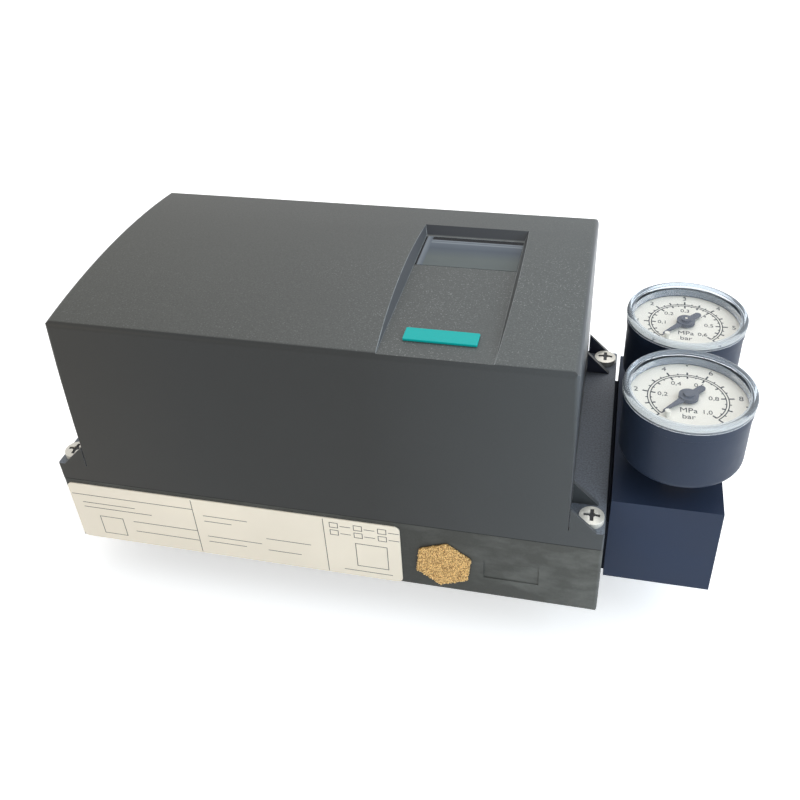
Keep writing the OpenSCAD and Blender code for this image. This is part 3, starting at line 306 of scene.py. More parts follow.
def cover_walls(f, side, end, far_shade):
    """Upright walls, darkened as painted shade: warmer at the left, paler and bluer towards the right end as
    painted sheen, and a darker, bluer painted shade on the recess's far wall.
    """
    shade = f.shades(f.noise(WALL_GRAIN_MM), side, 0.97, 1.03)
    # Painted shade and sheen along the walls, from left to right
    wall_light = [(0.0, WALL_LIGHT_LEFT), (0.3, WALL_LIGHT_MID), (0.6, WALL_LIGHT_MID), (1.0, WALL_LIGHT_RIGHT)]
    shade = f.tinted(shade, f.ramp(f.share("X"), wall_light))
    # Painted sheen: walls that face the right end turn pale and bluish
    shade = f.mix(f.spread(f.looks("X", *END_FACING), 0.0, END_SHEEN, 0.0, 1.0), shade, end)
    # Painted shade: the recess's far wall takes a darker bluish colour
    far_wall = f.times(f.looks("Y", *FAR_FACING), f.spread(f.share("Y"), 0.0, 1.0, *FAR_HALF))
    return f.mix(far_wall, shade, far_shade)


def grained_cover(name, top, side, end, far_shade):
    """Cover plastic: a fine grain with painted glints on what looks up, and smoother upright walls painted darker
    as shade.
    """
    f = Finish(name)
    up = f.looks("Z", *TOP_FACING)
    grain = f.noise(TOP_GRAIN_MM, rough=0.6)
    shade = f.mix(up, cover_walls(f, side, end, far_shade), speckled_top(f, grain, top))
    # Painted light: the up-facing ledge below the screw heads, in the shade of the gauges and the cover, is drawn
    # as a pale bluish speckle
    below_heads = f.spread(f.place("Z"), 1.0, 0.0, LEDGE_TOP, LEDGE_TOP + MM)
    ledge_light = f.shades(f.noise(STIPPLE_MM, detail=3.0), end, 0.78, 1.25, *STIPPLE_RANGE)
    shade = f.mix(f.times(f.looks("Z", *LEDGE_FACING), below_heads), shade, ledge_light)
    shade = f.tinted(shade, f.greys(f.noise(SLOW_MM), 0.95, 1.0))
    f.colour(f.mix(f.parting_line(), shade, scaled(side, PARTING_SHADE)))
    f.roughness(f.spread(up, WALL_ROUGHNESS, TOP_ROUGHNESS, 0.0, 1.0))
    f.drive(f.spread(f.facing_sides(), TOP_SPECULAR, WALL_SPECULAR, 0.2, 0.5), "Specular IOR Level")
    f.bump(f.times(grain, up), TOP_GRAIN_DEPTH_MM)
    return f.material


def worn_edge(name, colour, plain):
    """Painted highlight: a paler line along the cover's upper edges, where light catches them."""
    f = Finish(name, 0.4, specular=0.3)
    shade = f.shades(f.noise(3.0, detail=3.0), colour, 0.6, 1.2)
    # Upper edges get the painted highlight, lower ones a plain wall shade
    shade = f.mix(f.spread(f.place("Z"), 0.0, 1.0, HIGHLIGHT_FROM, HIGHLIGHT_TO), plain, shade)
    f.colour(f.mix(f.parting_line(), shade, scaled(colour, PARTING_SHADE)))
    return f.material


# Finishes of the other plastics

GRAIN_RANGE = (0.32, 0.68)
SCUFF_FROM = 30 * MM
SCUFF_TO = 90 * MM
SCUFF_MM = 11.0
SCUFF_STRETCH = (0.7, 1.0, 1.3)
PANE_ALPHA = 0.88
PANE_STREAK = (1.0, 0.12, 1.0)
PANE_SIDE = (0.068, 0.078)
RIM_START = 0.875
RIM_END = 0.9
RIM_CLEAR = 0.78
WINDOW_ALPHA = 0.04
BEZEL_IOR = 1.3


def moulded_plastic(name, colour, grain_mm=0.6, depth_mm=0.02, roughness=0.45, contrast=0.06, mottle=0.06,
                    specular=0.5):
    """Moulded plastic with an eroded grain and slow shade changes."""
    f = Finish(name, roughness, specular=specular)
    grain = f.noise(grain_mm, detail=3.0, rough=0.6)
    shade = f.shades(grain, colour, 1 - contrast, 1 + contrast, *GRAIN_RANGE)
    f.colour(f.tinted(shade, f.greys(f.noise(45.0), 1 - mottle, 1 + mottle)))
    f.roughness(f.spread(f.noise(8.0, detail=4.0), roughness - 0.05, roughness + 0.07))
    f.bump(grain, depth_mm)
    return f.material


def scuffed_plastic(name, colour, scuff, grain_mm, roughness):
    """Moulded plastic of the base, with pale cloudy scuffs from handling, mostly at the right, over a tone that
    grows paler towards the right end.
    """
    f = Finish(name, roughness, specular=0.2)
    grain = f.noise(grain_mm, detail=3.0, rough=0.6)
    shade = f.shades(grain, colour, 0.92, 1.08, *GRAIN_RANGE)
    cloud = f.noise(SCUFF_MM, detail=5.0, rough=0.62, stretch=SCUFF_STRETCH)
    reach = f.spread(f.place("X"), 0.35, 1.0, SCUFF_FROM, SCUFF_TO)
    shade = f.mix(f.times(f.spread(cloud, 0.0, 0.6, 0.46, 0.7), reach), shade, scuff)
    # Paler towards the right end
    shade = f.mix(f.spread(f.place("X"), 0.0, 0.2, SCUFF_FROM, SCUFF_TO), shade, scuff)
    f.colour(shade)
    f.roughness(f.spread(cloud, roughness - 0.06, roughness + 0.12))
    f.bump(grain, 0.02)
    f.bump(f.noise(3.0), 0.02)
    return f.material


def hazy_pane(name, near, dim, far, ledge, gap):
    """Hazy window pane with the view through it painted on: a paler painted light on the ledge and a dark painted
    shadow in the gap round it at its far and left sides, over a near-to-far painted reflection.
    """
    f = Finish(name, 0.14, specular=0.15)
    f.set(f.shader, {"Alpha": PANE_ALPHA})
    across = f.share("X")
    # Painted reflection from near to far, with bands of painted light on the ledge and painted shadow in the gap
    shade = f.ramp(f.share("Y"), [(0.0, near), (0.3, near), (0.6, dim), (0.775, far), (0.795, ledge),
                                  (0.82, ledge), (0.835, far), (0.85, far), (0.862, ledge), (0.885, ledge),
                                  (0.9, gap), (1.0, gap)])
    side = f.ramp(across, [(0.0, gap), (0.012, gap), (0.024, ledge), (0.07, far)])
    shade = f.mix(f.spread(across, 1.0, 0.0, *PANE_SIDE), shade, side)
    f.colour(f.tinted(shade, f.greys(f.noise(9.0, detail=3.0), 0.95, 1.0)))
    f.roughness(f.spread(f.noise(0.7, detail=3.0, stretch=PANE_STREAK), 0.1, 0.22, 0.5, 0.8))
    return f.material


def bezel_plastic(name, tint):
    """Round clear cap: an almost invisible window over the dial in a rim of clear, refracting plastic."""
    f = Finish(name)
    f.set(f.shader, {"IOR": BEZEL_IOR})
    centred = f.tree.nodes.new("ShaderNodeMapping")
    f.set(centred, {"Location": (-1.0, -1.0, 0.0), "Scale": (2.0, 2.0, 0.0)})
    f.link(f.box_place(), centred.inputs["Vector"])
    radius = f.tree.nodes.new("ShaderNodeVectorMath")
    radius.operation = "LENGTH"
    f.link(centred.outputs["Vector"], radius.inputs[0])
    rim = f.spread(radius.outputs["Value"], 0.0, 1.0, RIM_START, RIM_END)
    f.colour(f.shades(f.noise(5.0), tint, 0.97, 1.0))
    f.drive(f.spread(rim, 0.0, RIM_CLEAR, 0.0, 1.0), "Transmission Weight")
    f.drive(f.spread(rim, WINDOW_ALPHA, 1.0, 0.0, 1.0), "Alpha")
    f.roughness(f.spread(f.noise(2.0), 0.03, 0.1))
    return f.material


def film(name, colour, roughness=0.35, variation=0.035, specular=0.5):
    """Smooth printed film or card with a faint uneven tone."""
    f = Finish(name, roughness, specular=specular)
    f.colour(f.shades(f.noise(30.0, detail=3.0), colour, 1 - variation, 1 + variation))
    fine = f.noise(0.9)
    f.roughness(f.spread(fine, roughness - 0.04, roughness + 0.06))
    f.bump(fine, 0.004)
    return f.material


def soft_rubber(name, colour):
    f = Finish(name, 0.75, specular=0.3)
    fine = f.noise(0.6, detail=3.0)
    f.colour(f.shades(fine, colour, 0.8, 1.3))
    f.bump(fine, 0.03)
    return f.material


# Finishes of the metals

STREAK = (1.0, 1.0, 12.0)
STREAK_MM = 0.5
LUMP_MM = 0.42


def bright_metal(name, colour, roughness, metallic=1.0):
    f = Finish(name, roughness, metallic)
    lines = f.noise(STREAK_MM, detail=3.0, stretch=STREAK)
    f.colour(f.shades(lines, colour, 0.86, 1.05))
    f.roughness(f.spread(lines, roughness - 0.06, roughness + 0.1))
    f.bump(lines, 0.006)
    return f.material


def sintered_bronze(name, dark, light):
    f = Finish(name, metallic=0.12)
    lump = f.noise(LUMP_MM, detail=3.0, rough=0.65)
    f.colour(f.ramp(lump, [(0.41, dark), (0.5, scaled(light, 0.78)), (0.57, light)]))
    f.roughness(f.spread(lump, 0.55, 0.34))
    f.bump(lump, 0.12)
    return f.material


def anodised_metal(name, colour):
    f = Finish(name, specular=0.2)
    haze = f.noise(22.0, detail=3.0)
    fine = f.noise(0.35)
    f.colour(f.mix(0.25, f.shades(haze, colour, 0.9, 1.1), f.shades(fine, colour, 0.85, 1.2)))
    f.roughness(f.spread(haze, 0.42, 0.56))
    f.bump(fine, 0.008)
    return f.material


# Colours, and one look for each material slot of the record

COVER_TOP = srgb(75, 77, 76)
COVER_SIDE = srgb(78, 79, 80)
# Pale bluish colour painted as sheen on walls facing the right end, and as light on the shaded end ledge
COVER_END_LIGHT = srgb(104, 110, 119)
# Darker bluish painted shade of the recess's far wall
COVER_FAR_SHADE = srgb(64, 69, 84)
# Pale painted highlight along the cover's upper edges
COVER_EDGE_HIGHLIGHT = srgb(128, 133, 135)
EDGE_SHADE = 0.8
BASE_GREY = srgb(60, 61, 58)
SCUFF_GREY = srgb(116, 118, 115)
NAVY = srgb(38, 49, 70)
CASE_NAVY = srgb(38, 48, 66)
CREAM = srgb(232, 223, 206)
TEAL = srgb(10, 166, 162)
IVORY = srgb(232, 228, 217)
# Dark ink of the printing, also used as the painted shade that fills the screw slots
INK_AND_SLOT_SHADE = srgb(40, 42, 46)
BRONZE_LIGHT = srgb(248, 210, 142)
BRONZE_MID = srgb(190, 146, 78)
BRONZE_DARK = srgb(148, 108, 52)
# Painted shade: the silencer's own surface between its grains is darkened to stand for the shade in the pits
BRONZE_PIT_SHADE = scaled(BRONZE_DARK, 0.6)
BRASS = srgb(196, 160, 92)
ZINC = srgb(226, 223, 213)
RUBBER = srgb(38, 45, 58)
POINTER_GREY = srgb(78, 82, 94)
# Pane colours paint the view through it: a painted reflection from near to far, a lit ledge and a shaded gap
PANE_NEAR = srgb(99, 106, 106)
PANE_DIM = srgb(84, 92, 102)
PANE_FAR = srgb(98, 106, 115)
PANE_LIT_LEDGE = srgb(130, 137, 144)
PANE_GAP_SHADOW = srgb(16, 20, 26)
BEZEL_CLEAR = srgb(220, 229, 238)

LOOKS = {
    "base_plastic": scuffed_plastic("base_plastic", BASE_GREY, SCUFF_GREY, grain_mm=0.7, roughness=0.52),
    "cover_plastic": grained_cover("cover_plastic", COVER_TOP, COVER_SIDE, COVER_END_LIGHT, COVER_FAR_SHADE),
    "clear_plastic": hazy_pane("clear_plastic", PANE_NEAR, PANE_DIM, PANE_FAR, PANE_LIT_LEDGE, PANE_GAP_SHADOW),
    "badge": film("badge", TEAL, roughness=0.4, variation=0.03, specular=0.2),
    "label": film("label", CREAM, roughness=0.38),
    "steel": bright_metal("steel", ZINC, roughness=0.36, metallic=0.45),
    "bronze": sintered_bronze("bronze", BRONZE_PIT_SHADE, BRONZE_MID),
    "brass": bright_metal("brass", BRASS, roughness=0.32),
    "rubber": soft_rubber("rubber", RUBBER),
    "block_metal": anodised_metal("block_metal", NAVY),
    "gauge_case": moulded_plastic("gauge_case", CASE_NAVY, 0.5, 0.012, roughness=0.42, specular=0.22),
    "dial": film("dial", IVORY, roughness=0.55, variation=0.012),
    "pointer": moulded_plastic("pointer", POINTER_GREY, 0.4, 0.01, roughness=0.5),
    "black_plastic": moulded_plastic("black_plastic", srgb(44, 45, 48), roughness=0.48, contrast=0.12),
    "white_plastic": moulded_plastic("white_plastic", srgb(226, 222, 210), depth_mm=0.01, contrast=0.02,
                                     mottle=0.02),
    "grey_plastic": moulded_plastic("grey_plastic", srgb(128, 132, 130), roughness=0.5),
    "blue_plastic": moulded_plastic("blue_plastic", srgb(44, 76, 122)),
    "yellow_plastic": moulded_plastic("yellow_plastic", srgb(214, 176, 44), contrast=0.05),
    "board": film("board", srgb(40, 98, 62), variation=0.08),
    "lcd": film("lcd", srgb(84, 92, 96), roughness=0.2, variation=0.05),
}
INK_AND_SLOT_SHADE_LOOK = film("printing_ink_and_slot_shade", INK_AND_SLOT_SHADE, roughness=0.5, variation=0.08)
BEZEL_LOOK = bezel_plastic("bezel_plastic", BEZEL_CLEAR)
EDGE_LOOK = worn_edge("cover_edge_highlight", COVER_EDGE_HIGHLIGHT, scaled(COVER_SIDE, EDGE_SHADE))
GRAIN_LOOK = sintered_bronze("bronze_grains", BRONZE_DARK, BRONZE_LIGHT)


def dress_nodes():
    for part in frame["record"]["subparts"]:
        slots = NODES[part["node"]].data.materials
        slots.clear()
        slots.append(LOOKS[part["material_slot"]])
    for gauge in GAUGES:
        NODES[gauge + "_gauge_lens"].data.materials[0] = BEZEL_LOOK
    NODES["cover"].data.materials.append(EDGE_LOOK)


# Rounded edges of the moulded and machined pieces: largest edge width in millimetres

EDGE_MM = {
    "base_housing": 0.6, "cover": 0.12, "gauge_block": 0.25, "badge_plate": 0.2, "silencer": 0.3,
    "cover_screws": 0.15, "name_label": 0.05, "gland_body": 0.4, "gland_nut": 0.5, "blanking_plug": 0.4,
    "feedback_shaft": 0.3, "gauge_block_screws": 0.25, "rear_inserts": 0.2,
    "front_gauge_case": 0.4, "rear_gauge_case": 0.4, "front_gauge_stem": 0.3, "rear_gauge_stem": 0.3,
    "front_gauge_pointer": 0.08, "rear_gauge_pointer": 0.08, "front_gauge_lens": 0.2, "rear_gauge_lens": 0.2,
}
EDGE_STEPS = 3
EDGE_ANGLE = math.radians(28)
COVER_EDGE_ANGLE = math.radians(55)
CRISP_ANGLE = math.radians(31)
FLAT_ANGLE = math.radians(0.4)
WELD = 0.002 * MM
COVER_WELD = 0.05 * MM
NORMAL_WEIGHT = 100
# Flat faces with large holes in these pieces stay as they are
UNFLATTENED = ("cover", "base_housing")


def round_edges():
    for name, width in EDGE_MM.items():
        is_cover = name == "cover"
        modifiers = NODES[name].modifiers
        weld = modifiers.new("weld", "WELD")
        weld.merge_threshold = COVER_WELD if is_cover else WELD
        if name not in UNFLATTENED:
            flatten = modifiers.new("flatten", "DECIMATE")
            flatten.decimate_type = "DISSOLVE"
            flatten.angle_limit = FLAT_ANGLE
        bevel = modifiers.new("edges", "BEVEL")
        bevel.width = width * MM
        bevel.segments = EDGE_STEPS
        bevel.limit_method = "ANGLE"
        bevel.angle_limit = COVER_EDGE_ANGLE if is_cover else EDGE_ANGLE
        bevel.miter_outer = "MITER_ARC"
        if is_cover:
            bevel.material = 1
            bevel.use_clamp_overlap = False
            crisp = modifiers.new("crisp", "EDGE_SPLIT")
            crisp.split_angle = CRISP_ANGLE
        normals = modifiers.new("normals", "WEIGHTED_NORMAL")
        normals.mode = "FACE_AREA_WITH_ANGLE"
        normals.weight = NORMAL_WEIGHT


# Flat pieces drawn as thin solids, in millimetres

def new_piece(name, mesh_maker, look, body=HOUSING):
    mesh = bpy.data.meshes.new(name)
    bm = bmesh.new()
    mesh_maker(bm)
    bmesh.ops.recalc_face_normals(bm, faces=bm.faces)
    bm.to_mesh(mesh)
    bm.free()
    piece = bpy.data.objects.new(name, mesh)
    bpy.context.scene.collection.objects.link(piece)
    piece.data.materials.append(look)
    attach(piece, body)
    return piece


def polar(radius, angle):
    return (radius * math.cos(angle), radius * math.sin(angle))


def disc(radius, sides, u=0.0, v=0.0):
    corners = [polar(radius, 2 * math.pi * k / sides) for k in range(sides)]
    return [(u + x, v + y) for x, y in corners]


def add_prism(bm, outline, place, low, high):
    """Solid between two heights over a closed outline; place turns (u, v, height) into a point."""
    floor = [bm.verts.new(place(u, v, low)) for u, v in outline]
    roof = [bm.verts.new(place(u, v, high)) for u, v in outline]
    count = len(outline)
    bm.faces.new(list(reversed(floor)))
    bm.faces.new(roof)
    for i in range(count):
        j = (i + 1) % count
        bm.faces.new((floor[i], floor[j], roof[j], roof[i]))


def add_rect(bm, place, u0, u1, v0, v1, low, high):
    add_prism(bm, [(u0, v0), (u1, v0), (u1, v1), (u0, v1)], place, low, high)


def add_frame(bm, place, u0, u1, v0, v1, line, low, high):
    add_rect(bm, place, u0, u1, v0, v0 + line, low, high)
    add_rect(bm, place, u0, u1, v1 - line, v1, low, high)
    add_rect(bm, place, u0, u0 + line, v0 + line, v1 - line, low, high)
    add_rect(bm, place, u1 - line, u1, v0 + line, v1 - line, low, high)


def on_gauge(gauge, level):
    """Function that puts (u, v, height) round the gauge's axis, over one level along Z."""
    joint = next(j for j in frame["joints"] if j["name"] == gauge + "_pointer_turn")
    middle = Vector(joint["pos_m"])

    def place(u, v, height):
        return Vector((middle.x + u * MM, middle.y + v * MM, level + height * MM))

    return place


# Dial printing

PRINT_LOW = 0.01
PRINT_HIGH = 0.05
ZERO_ANGLE = 225.0
SWEEP = 270.0
DIAL_DROP = 4.9
ARC_OUTER = 12.0
ARC_INNER = 11.2
ARC_LINE = 0.32
ARC_STEPS = 96
NUMBERED_TICK = 1.7
WHOLE_TICK = 1.3
HALF_TICK = 0.65
INNER_TICK_SHARE = 0.85
WHOLE_LINE = 0.52
HALF_LINE = 0.38
OUTER_NUMBER_R = 15.7
OUTER_NUMBER_SIZE = 3.0
INNER_NUMBER_R = (7.6, 8.0)
INNER_NUMBER_SIZE = 2.6
UNITS = (("MPa", -5.6, 3.1), ("bar", -8.6, 3.0))
WORD_STEPS = 4
DOT_TURNS = (90, 180, -4)
DOT_RING_R = 17.0
DOT_R = 0.34
DOT_SIDES = 12


def dial_angle(share):
    return math.radians(ZERO_ANGLE - SWEEP * share)


def add_arc(bm, place, radius, line):
    angles = [dial_angle(i / ARC_STEPS) for i in range(ARC_STEPS + 1)]
    outer = [polar(radius + line / 2, a) for a in angles]
    inner = [polar(radius - line / 2, a) for a in angles]
    for i in range(ARC_STEPS):
        add_prism(bm, [outer[i], outer[i + 1], inner[i + 1], inner[i]], place, PRINT_LOW, PRINT_HIGH)


def add_tick(bm, place, share, start, end, line):
    along = Vector(polar(1.0, dial_angle(share)))
    across = Vector((-along.y, along.x)) * line / 2
    corners = [along * start - across, along * end - across, along * end + across, along * start + across]
    add_prism(bm, [tuple(c) for c in corners], place, PRINT_LOW, PRINT_HIGH)


def add_ticks(bm, place, steps):
    for i in range(steps + 1):
        whole = i % 2 == 0
        numbered = i % 4 == 0
        reach = NUMBERED_TICK if numbered else WHOLE_TICK if whole else HALF_TICK
        line = WHOLE_LINE if whole else HALF_LINE
        add_tick(bm, place, i / steps, ARC_OUTER, ARC_OUTER + reach, line)
        add_tick(bm, place, i / steps, ARC_INNER - reach * INNER_TICK_SHARE, ARC_INNER, line)


def add_words(bm, words, u, v, size, place):
    """Words as a thin solid, centred on (u, v), in the built-in plain font."""
    curve = bpy.data.curves.new("words", "FONT")
    curve.body = words
    curve.size = size
    curve.align_x = "CENTER"
    curve.align_y = "CENTER"
    curve.extrude = (PRINT_HIGH - PRINT_LOW) / 2
    curve.resolution_u = WORD_STEPS
    holder = bpy.data.objects.new("words", curve)
    bpy.context.scene.collection.objects.link(holder)
    bpy.context.view_layer.update()
    mesh = bpy.data.meshes.new_from_object(holder.evaluated_get(bpy.context.evaluated_depsgraph_get()))
    for vertex in mesh.vertices:
        x, y, z = vertex.co
        vertex.co = place(u + x, v + y, z + (PRINT_HIGH + PRINT_LOW) / 2)
    bm.from_mesh(mesh)
    bpy.data.objects.remove(holder)
    bpy.data.curves.remove(curve)
    bpy.data.meshes.remove(mesh)


def print_dial(gauge, full, steps, outer_numbers, inner_numbers):
    """Two scales up to full: whole numbers outside and tenths inside, over half-marked divisions."""
    place = on_gauge(gauge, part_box(gauge + "_gauge_lens")[1].z - DIAL_DROP * MM)

    def draw(bm):
        for radius in (ARC_OUTER, ARC_INNER):
            add_arc(bm, place, radius, ARC_LINE)
        add_ticks(bm, place, steps)
        for number in outer_numbers:
            u, v = polar(OUTER_NUMBER_R, dial_angle(number / full))
            add_words(bm, str(number), u, v, OUTER_NUMBER_SIZE, place)
        for number in inner_numbers:
            angle = dial_angle(number / full)
            u = INNER_NUMBER_R[0] * math.cos(angle)
            v = INNER_NUMBER_R[1] * math.sin(angle)
            tenths = "%d,%d" % divmod(number, 10)
            add_words(bm, tenths, u, v, INNER_NUMBER_SIZE, place)
        for unit, v, size in UNITS:
            add_words(bm, unit, 0, v, size, place)
        for turn in DOT_TURNS:
            dot = disc(DOT_R, DOT_SIDES, *polar(DOT_RING_R, math.radians(turn)))
            add_prism(bm, dot, place, PRINT_LOW, PRINT_HIGH)

    new_piece(gauge + "_dial_print", draw, INK_AND_SLOT_SHADE_LOOK)


# Small white disc on the rear pointer's hub

HUB_DOT_R = 0.42
HUB_DOT_PROUD = 0.06
HUB_DOT_SIDES = 20


def tip_arbor():
    place = on_gauge("rear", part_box("rear_gauge_pointer")[1].z)

    def draw(bm):
        add_prism(bm, disc(HUB_DOT_R, HUB_DOT_SIDES), place, -HUB_DOT_PROUD, HUB_DOT_PROUD)

    new_piece("rear_hub_dot", draw, LOOKS["white_plastic"], "rear_pointer")


# Label lines: a bare plate with dividers, empty tick boxes and blank panels

LINE_PROUD = 0.03
RULE = 0.22
DIVIDERS_MM = (-44.9, 2.0)
DIVIDER_INSET = 0.6
ROWS_MM = (22.2, 11.8, 7.0)
ROW_INDENTS_MM = (0.8, 22.0, 22.0)
# Start and end from the label's left edge, and rise over its lower edge
BARE_LINES_MM = ((4.0, 24.0, 17.6), (4.0, 30.0, 15.4), (50.0, 66.0, 19.0), (50.0, 60.0, 16.4),
                 (50.0, 70.0, 9.0), (50.0, 64.0, 6.4), (72.0, 88.0, 12.0), (72.0, 84.0, 6.4),
                 (99.0, 116.0, 2.6))
BOX_COLUMNS = 3
BOX_ROWS = 2
BOX_START = 2.2
BOX_DROP = 4.2
BOX_PITCH = (8.2, 3.4)
BOX_SIZE = (3.0, 2.4)
DASH_SPAN = (3.6, 7.2)
DASH_RISE = 0.9
# Start and end from the label's side edge, and lower and upper side over its lower edge
RIGHT_PANEL_MM = (15.5, 4.5, 5.2, 16.2)
LEFT_PANEL_MM = (9.0, 18.0, 3.0, 11.6)


def rule_label():
    low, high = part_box("name_label")
    left, right = low.x / MM, high.x / MM
    bottom, top = low.z / MM, high.z / MM

    def place(u, v, height):
        return Vector((u * MM, low.y - height * MM, v * MM))

    def level_rule(bm, start, end, rise):
        add_rect(bm, place, start, end, rise, rise + RULE, 0.0, LINE_PROUD)

    def panel(bm, start, end, lower, upper):
        add_frame(bm, place, start, end, lower, upper, RULE, 0.0, LINE_PROUD)

    def draw(bm):
        for x in DIVIDERS_MM:
            add_rect(bm, place, x, x + RULE, bottom + DIVIDER_INSET, top - DIVIDER_INSET, 0.0, LINE_PROUD)
        for rise, indent in zip(ROWS_MM, ROW_INDENTS_MM):
            level_rule(bm, left + indent, DIVIDERS_MM[0], rise)
        for column in range(BOX_COLUMNS):
            for row in range(BOX_ROWS):
                u = DIVIDERS_MM[1] + BOX_START + column * BOX_PITCH[0]
                v = top - BOX_DROP - row * BOX_PITCH[1]
                panel(bm, u, u + BOX_SIZE[0], v, v + BOX_SIZE[1])
                level_rule(bm, u + DASH_SPAN[0], u + DASH_SPAN[1], v + DASH_RISE)
        for start, end, rise in BARE_LINES_MM:
            level_rule(bm, left + start, left + end, bottom + rise)
        start, end, lower, upper = RIGHT_PANEL_MM
        panel(bm, right - start, right - end, bottom + lower, bottom + upper)
        start, end, lower, upper = LEFT_PANEL_MM
        panel(bm, left + start, left + end, bottom + lower, bottom + upper)

    new_piece("label_rules", draw, INK_AND_SLOT_SHADE_LOOK)


# Painted shade in the cross slots of the cover screws: a dark fill that stands for the shade falling into them

SCREW_HEAD_MM = 3.9
SLOT_L = 4.9
SLOT_W = 1.0
SLOT_FLOOR = 1.75
SHADE_TOP = 0.5


def fill_screw_slots():
    low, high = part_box("cover_screws")
    inset = SCREW_HEAD_MM * MM
    half_l = SLOT_L / 2
    half_w = SLOT_W / 2

    def draw(bm):
        for x in (low.x + inset, high.x - inset):
            for y in (low.y + inset, high.y - inset):
                def place(u, v, height):
                    return Vector((x + u * MM, y + v * MM, high.z + height * MM))
                # Dark fill painted as the slots' shade
                add_rect(bm, place, -half_l, half_l, -half_w, half_w, -SLOT_FLOOR, -SHADE_TOP)
                add_rect(bm, place, -half_w, half_w, half_w, half_l, -SLOT_FLOOR, -SHADE_TOP)
                add_rect(bm, place, -half_w, half_w, -half_l, -half_w, -SLOT_FLOOR, -SHADE_TOP)

    new_piece("screw_slot_shade", draw, INK_AND_SLOT_SHADE_LOOK)


# Bronze grains of the sintered silencer, in staggered rows on its face and flats

GRAIN_MM = 0.58
GRAIN_SEED = 7
GRAIN_ROW = 0.87
GRAIN_SUNK = 0.12
GRAIN_JITTER = 0.13
GRAIN_R = (0.26, 0.4)
GRAIN_STRETCH = (0.85, 1.2)
SPARE_ROWS = 6
SIDE_ROW_START = 0.6
SILENCER_TURN = math.radians(23)
SIXTH = math.pi / 3


def add_grains():
    low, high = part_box("silencer")
    middle_x = (low.x + high.x) / 2 / MM
    middle_z = (low.z + high.z) / 2 / MM
    corner = (high.x - low.x) / 2 / MM / math.cos(SILENCER_TURN)
    flat = corner * math.cos(SIXTH / 2)
    face_y = low.y / MM
    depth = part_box("base_housing")[0].y / MM - face_y
    flats = [SILENCER_TURN + (k + 0.5) * SIXTH for k in range(6)]
    rng = random.Random(GRAIN_SEED)

    def inside(u, v):
        return all(u * math.cos(a) + v * math.sin(a) <= flat for a in flats)

    def face_spots():
        steps = int(2 * flat / GRAIN_MM) + SPARE_ROWS
        for i in range(-steps, steps + 1):
            for j in range(-steps, steps + 1):
                u = (i + 0.5 * (j % 2)) * GRAIN_MM
                v = j * GRAIN_MM * GRAIN_ROW
                if inside(u, v):
                    yield u, face_y, v

    def side_spots():
        side = 2 * flat / math.sqrt(3)
        sunk = flat - GRAIN_SUNK
        for a in flats:
            for i in range(int(side / GRAIN_MM)):
                for j in range(max(1, int(depth / GRAIN_MM))):
                    s = (i + 0.5) * GRAIN_MM - side / 2
                    u = sunk * math.cos(a) - s * math.sin(a)
                    v = sunk * math.sin(a) + s * math.cos(a)
                    yield u, face_y + (j + SIDE_ROW_START) * GRAIN_MM, v

    def add_grain(bm, u, y, v):
        jitter = [rng.uniform(-GRAIN_JITTER, GRAIN_JITTER) for _ in range(3)]
        size = rng.uniform(*GRAIN_R)
        centre = Vector((middle_x + u + jitter[0], y + GRAIN_SUNK + jitter[1], middle_z + v + jitter[2])) * MM
        spin = Matrix.Rotation(rng.uniform(0, math.pi), 4, (rng.random(), rng.random(), 1.0))
        stretch = Matrix.Diagonal((rng.uniform(*GRAIN_STRETCH), 1.0, rng.uniform(*GRAIN_STRETCH), 1.0))
        turned = Matrix.Translation(centre) @ spin @ stretch
        bmesh.ops.create_icosphere(bm, subdivisions=1, radius=size * MM, matrix=turned)

    def draw(bm):
        for spots in (face_spots(), side_spots()):
            for u, y, v in spots:
                add_grain(bm, u, y, v)
        for face in bm.faces:
            face.smooth = True

    new_piece("silencer_grains", draw, GRAIN_LOOK)


# Floor, light and background

FLOOR_DROP_MM = 0.3
FLOOR_SIZE = 6.0
FLOOR_GLOW = 0.45
FLOOR_GREYS = (0.9, 0.92)
FLOOR_CLOUD_MM = 300.0
WORLD_FRONT = 0.26
WORLD_BACK = 0.72
WORLD_AIM = (0.0, 0.5, 0.866)
WORLD_RANGE = (-0.6, 0.9)
# Name, place, aim, size, power and colour
SOFTBOXES = (
    ("top_light", (0.15, 0.35, 0.85), (0.03, 0.0, 0.05), (0.9, 0.7), 3.0, (1.0, 1.0, 1.0)),
    ("right_light", (0.65, -0.05, 0.45), (0.06, 0.0, 0.06), (0.5, 0.5), 2.2, (0.74, 0.88, 1.0)),
    ("near_right_light", (0.36, -0.34, 0.16), (0.08, 0.0, 0.04), (0.3, 0.3), 0.9, (0.78, 0.9, 1.0)),
    ("left_light", (-0.45, -0.5, 0.3), (-0.05, 0.0, 0.03), (0.4, 0.3), 0.9, (1.0, 0.88, 0.72)),
)


def seen_directly(tree):
    """1 for rays that show the background: from the camera, a mirror or clear plastic."""
    path = tree.nodes.new("ShaderNodeLightPath")
    seen = path.outputs["Is Camera Ray"]
    for ray in ("Is Glossy Ray", "Is Transmission Ray"):
        either = tree.nodes.new("ShaderNodeMath")
        either.operation = "MAXIMUM"
        tree.links.new(seen, either.inputs[0])
        tree.links.new(path.outputs[ray], either.inputs[1])
        seen = either.outputs[0]
    return seen


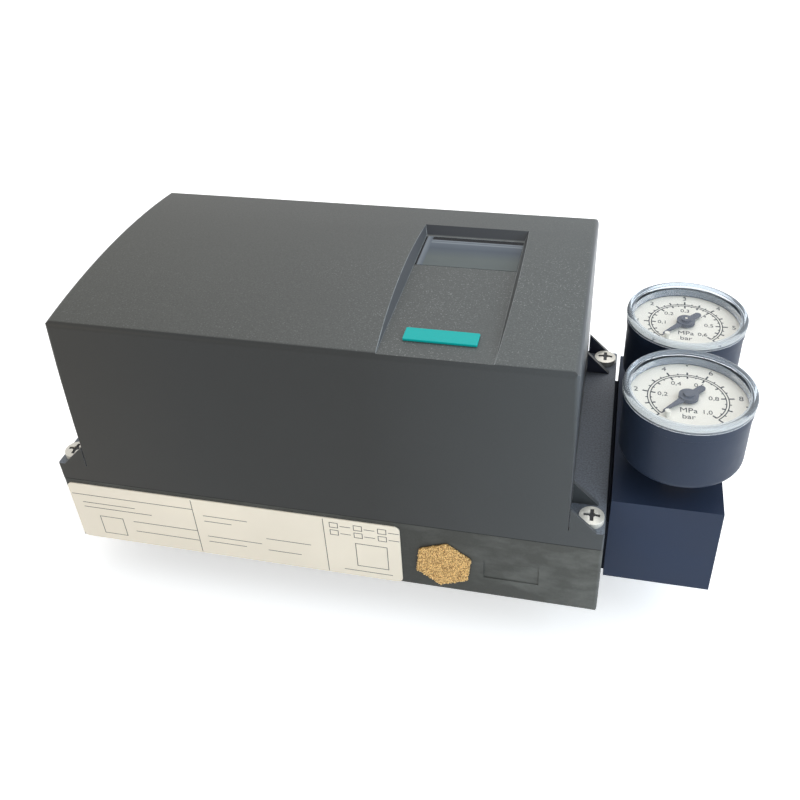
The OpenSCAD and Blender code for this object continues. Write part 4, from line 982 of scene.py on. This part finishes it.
def add_floor():
    z = cad_box[0][2] - FLOOR_DROP_MM * MM
    half = FLOOR_SIZE / 2
    corners = [(-half, -half, z), (half, -half, z), (half, half, z), (-half, half, z)]
    mesh = bpy.data.meshes.new("floor")
    mesh.from_pydata(corners, [], [(0, 1, 2, 3)])
    floor = bpy.data.objects.new("floor", mesh)
    bpy.context.scene.collection.objects.link(floor)
    f = Finish("floor", 0.9, specular=0.1)
    f.colour(f.greys(f.noise(FLOOR_CLOUD_MM), *FLOOR_GREYS))
    f.set(f.shader, {"Emission Color": WHITE})
    f.drive(f.spread(seen_directly(f.tree), 0.0, FLOOR_GLOW, 0.0, 1.0), "Emission Strength")
    mesh.materials.append(f.material)


def add_world():
    world = bpy.data.worlds.new("studio")
    bpy.context.scene.world = world
    world.use_nodes = True
    tree = world.node_tree
    background = tree.nodes["Background"]
    background.inputs["Color"].default_value = WHITE
    direction = tree.nodes.new("ShaderNodeTexCoord").outputs["Generated"]
    along = tree.nodes.new("ShaderNodeVectorMath")
    along.operation = "DOT_PRODUCT"
    along.inputs[1].default_value = WORLD_AIM
    tree.links.new(direction, along.inputs[0])
    level = tree.nodes.new("ShaderNodeMapRange")
    Finish.set(level, {"From Min": WORLD_RANGE[0], "From Max": WORLD_RANGE[1],
                       "To Min": WORLD_FRONT, "To Max": WORLD_BACK})
    tree.links.new(along.outputs["Value"], level.inputs["Value"])
    strength = tree.nodes.new("ShaderNodeMix")
    strength.inputs["B"].default_value = 1.0
    tree.links.new(seen_directly(tree), strength.inputs["Factor"])
    tree.links.new(level.outputs["Result"], strength.inputs["A"])
    tree.links.new(strength.outputs["Result"], background.inputs["Strength"])


def add_softbox(name, place, aim, size, power, colour):
    data = bpy.data.lights.new(name, "AREA")
    data.shape = "RECTANGLE"
    data.size, data.size_y = size
    data.energy = power
    data.color = colour
    light = bpy.data.objects.new(name, data)
    light.location = place
    direction = Vector(aim) - Vector(place)
    light.rotation_euler = direction.to_track_quat("-Z", "Y").to_euler()
    bpy.context.scene.collection.objects.link(light)


add_camera()
dress_nodes()
round_edges()
print_dial("front", 10, 20, outer_numbers=(2, 4, 6, 8), inner_numbers=(2, 4, 6, 8, 10))
print_dial("rear", 6, 24, outer_numbers=(1, 2, 3, 4, 5), inner_numbers=(1, 2, 3, 4, 5, 6))
tip_arbor()
rule_label()
fill_screw_slots()
add_grains()
add_floor()
add_world()
for softbox in SOFTBOXES:
    add_softbox(*softbox)
bpy.context.scene.view_settings.view_transform = "Standard"
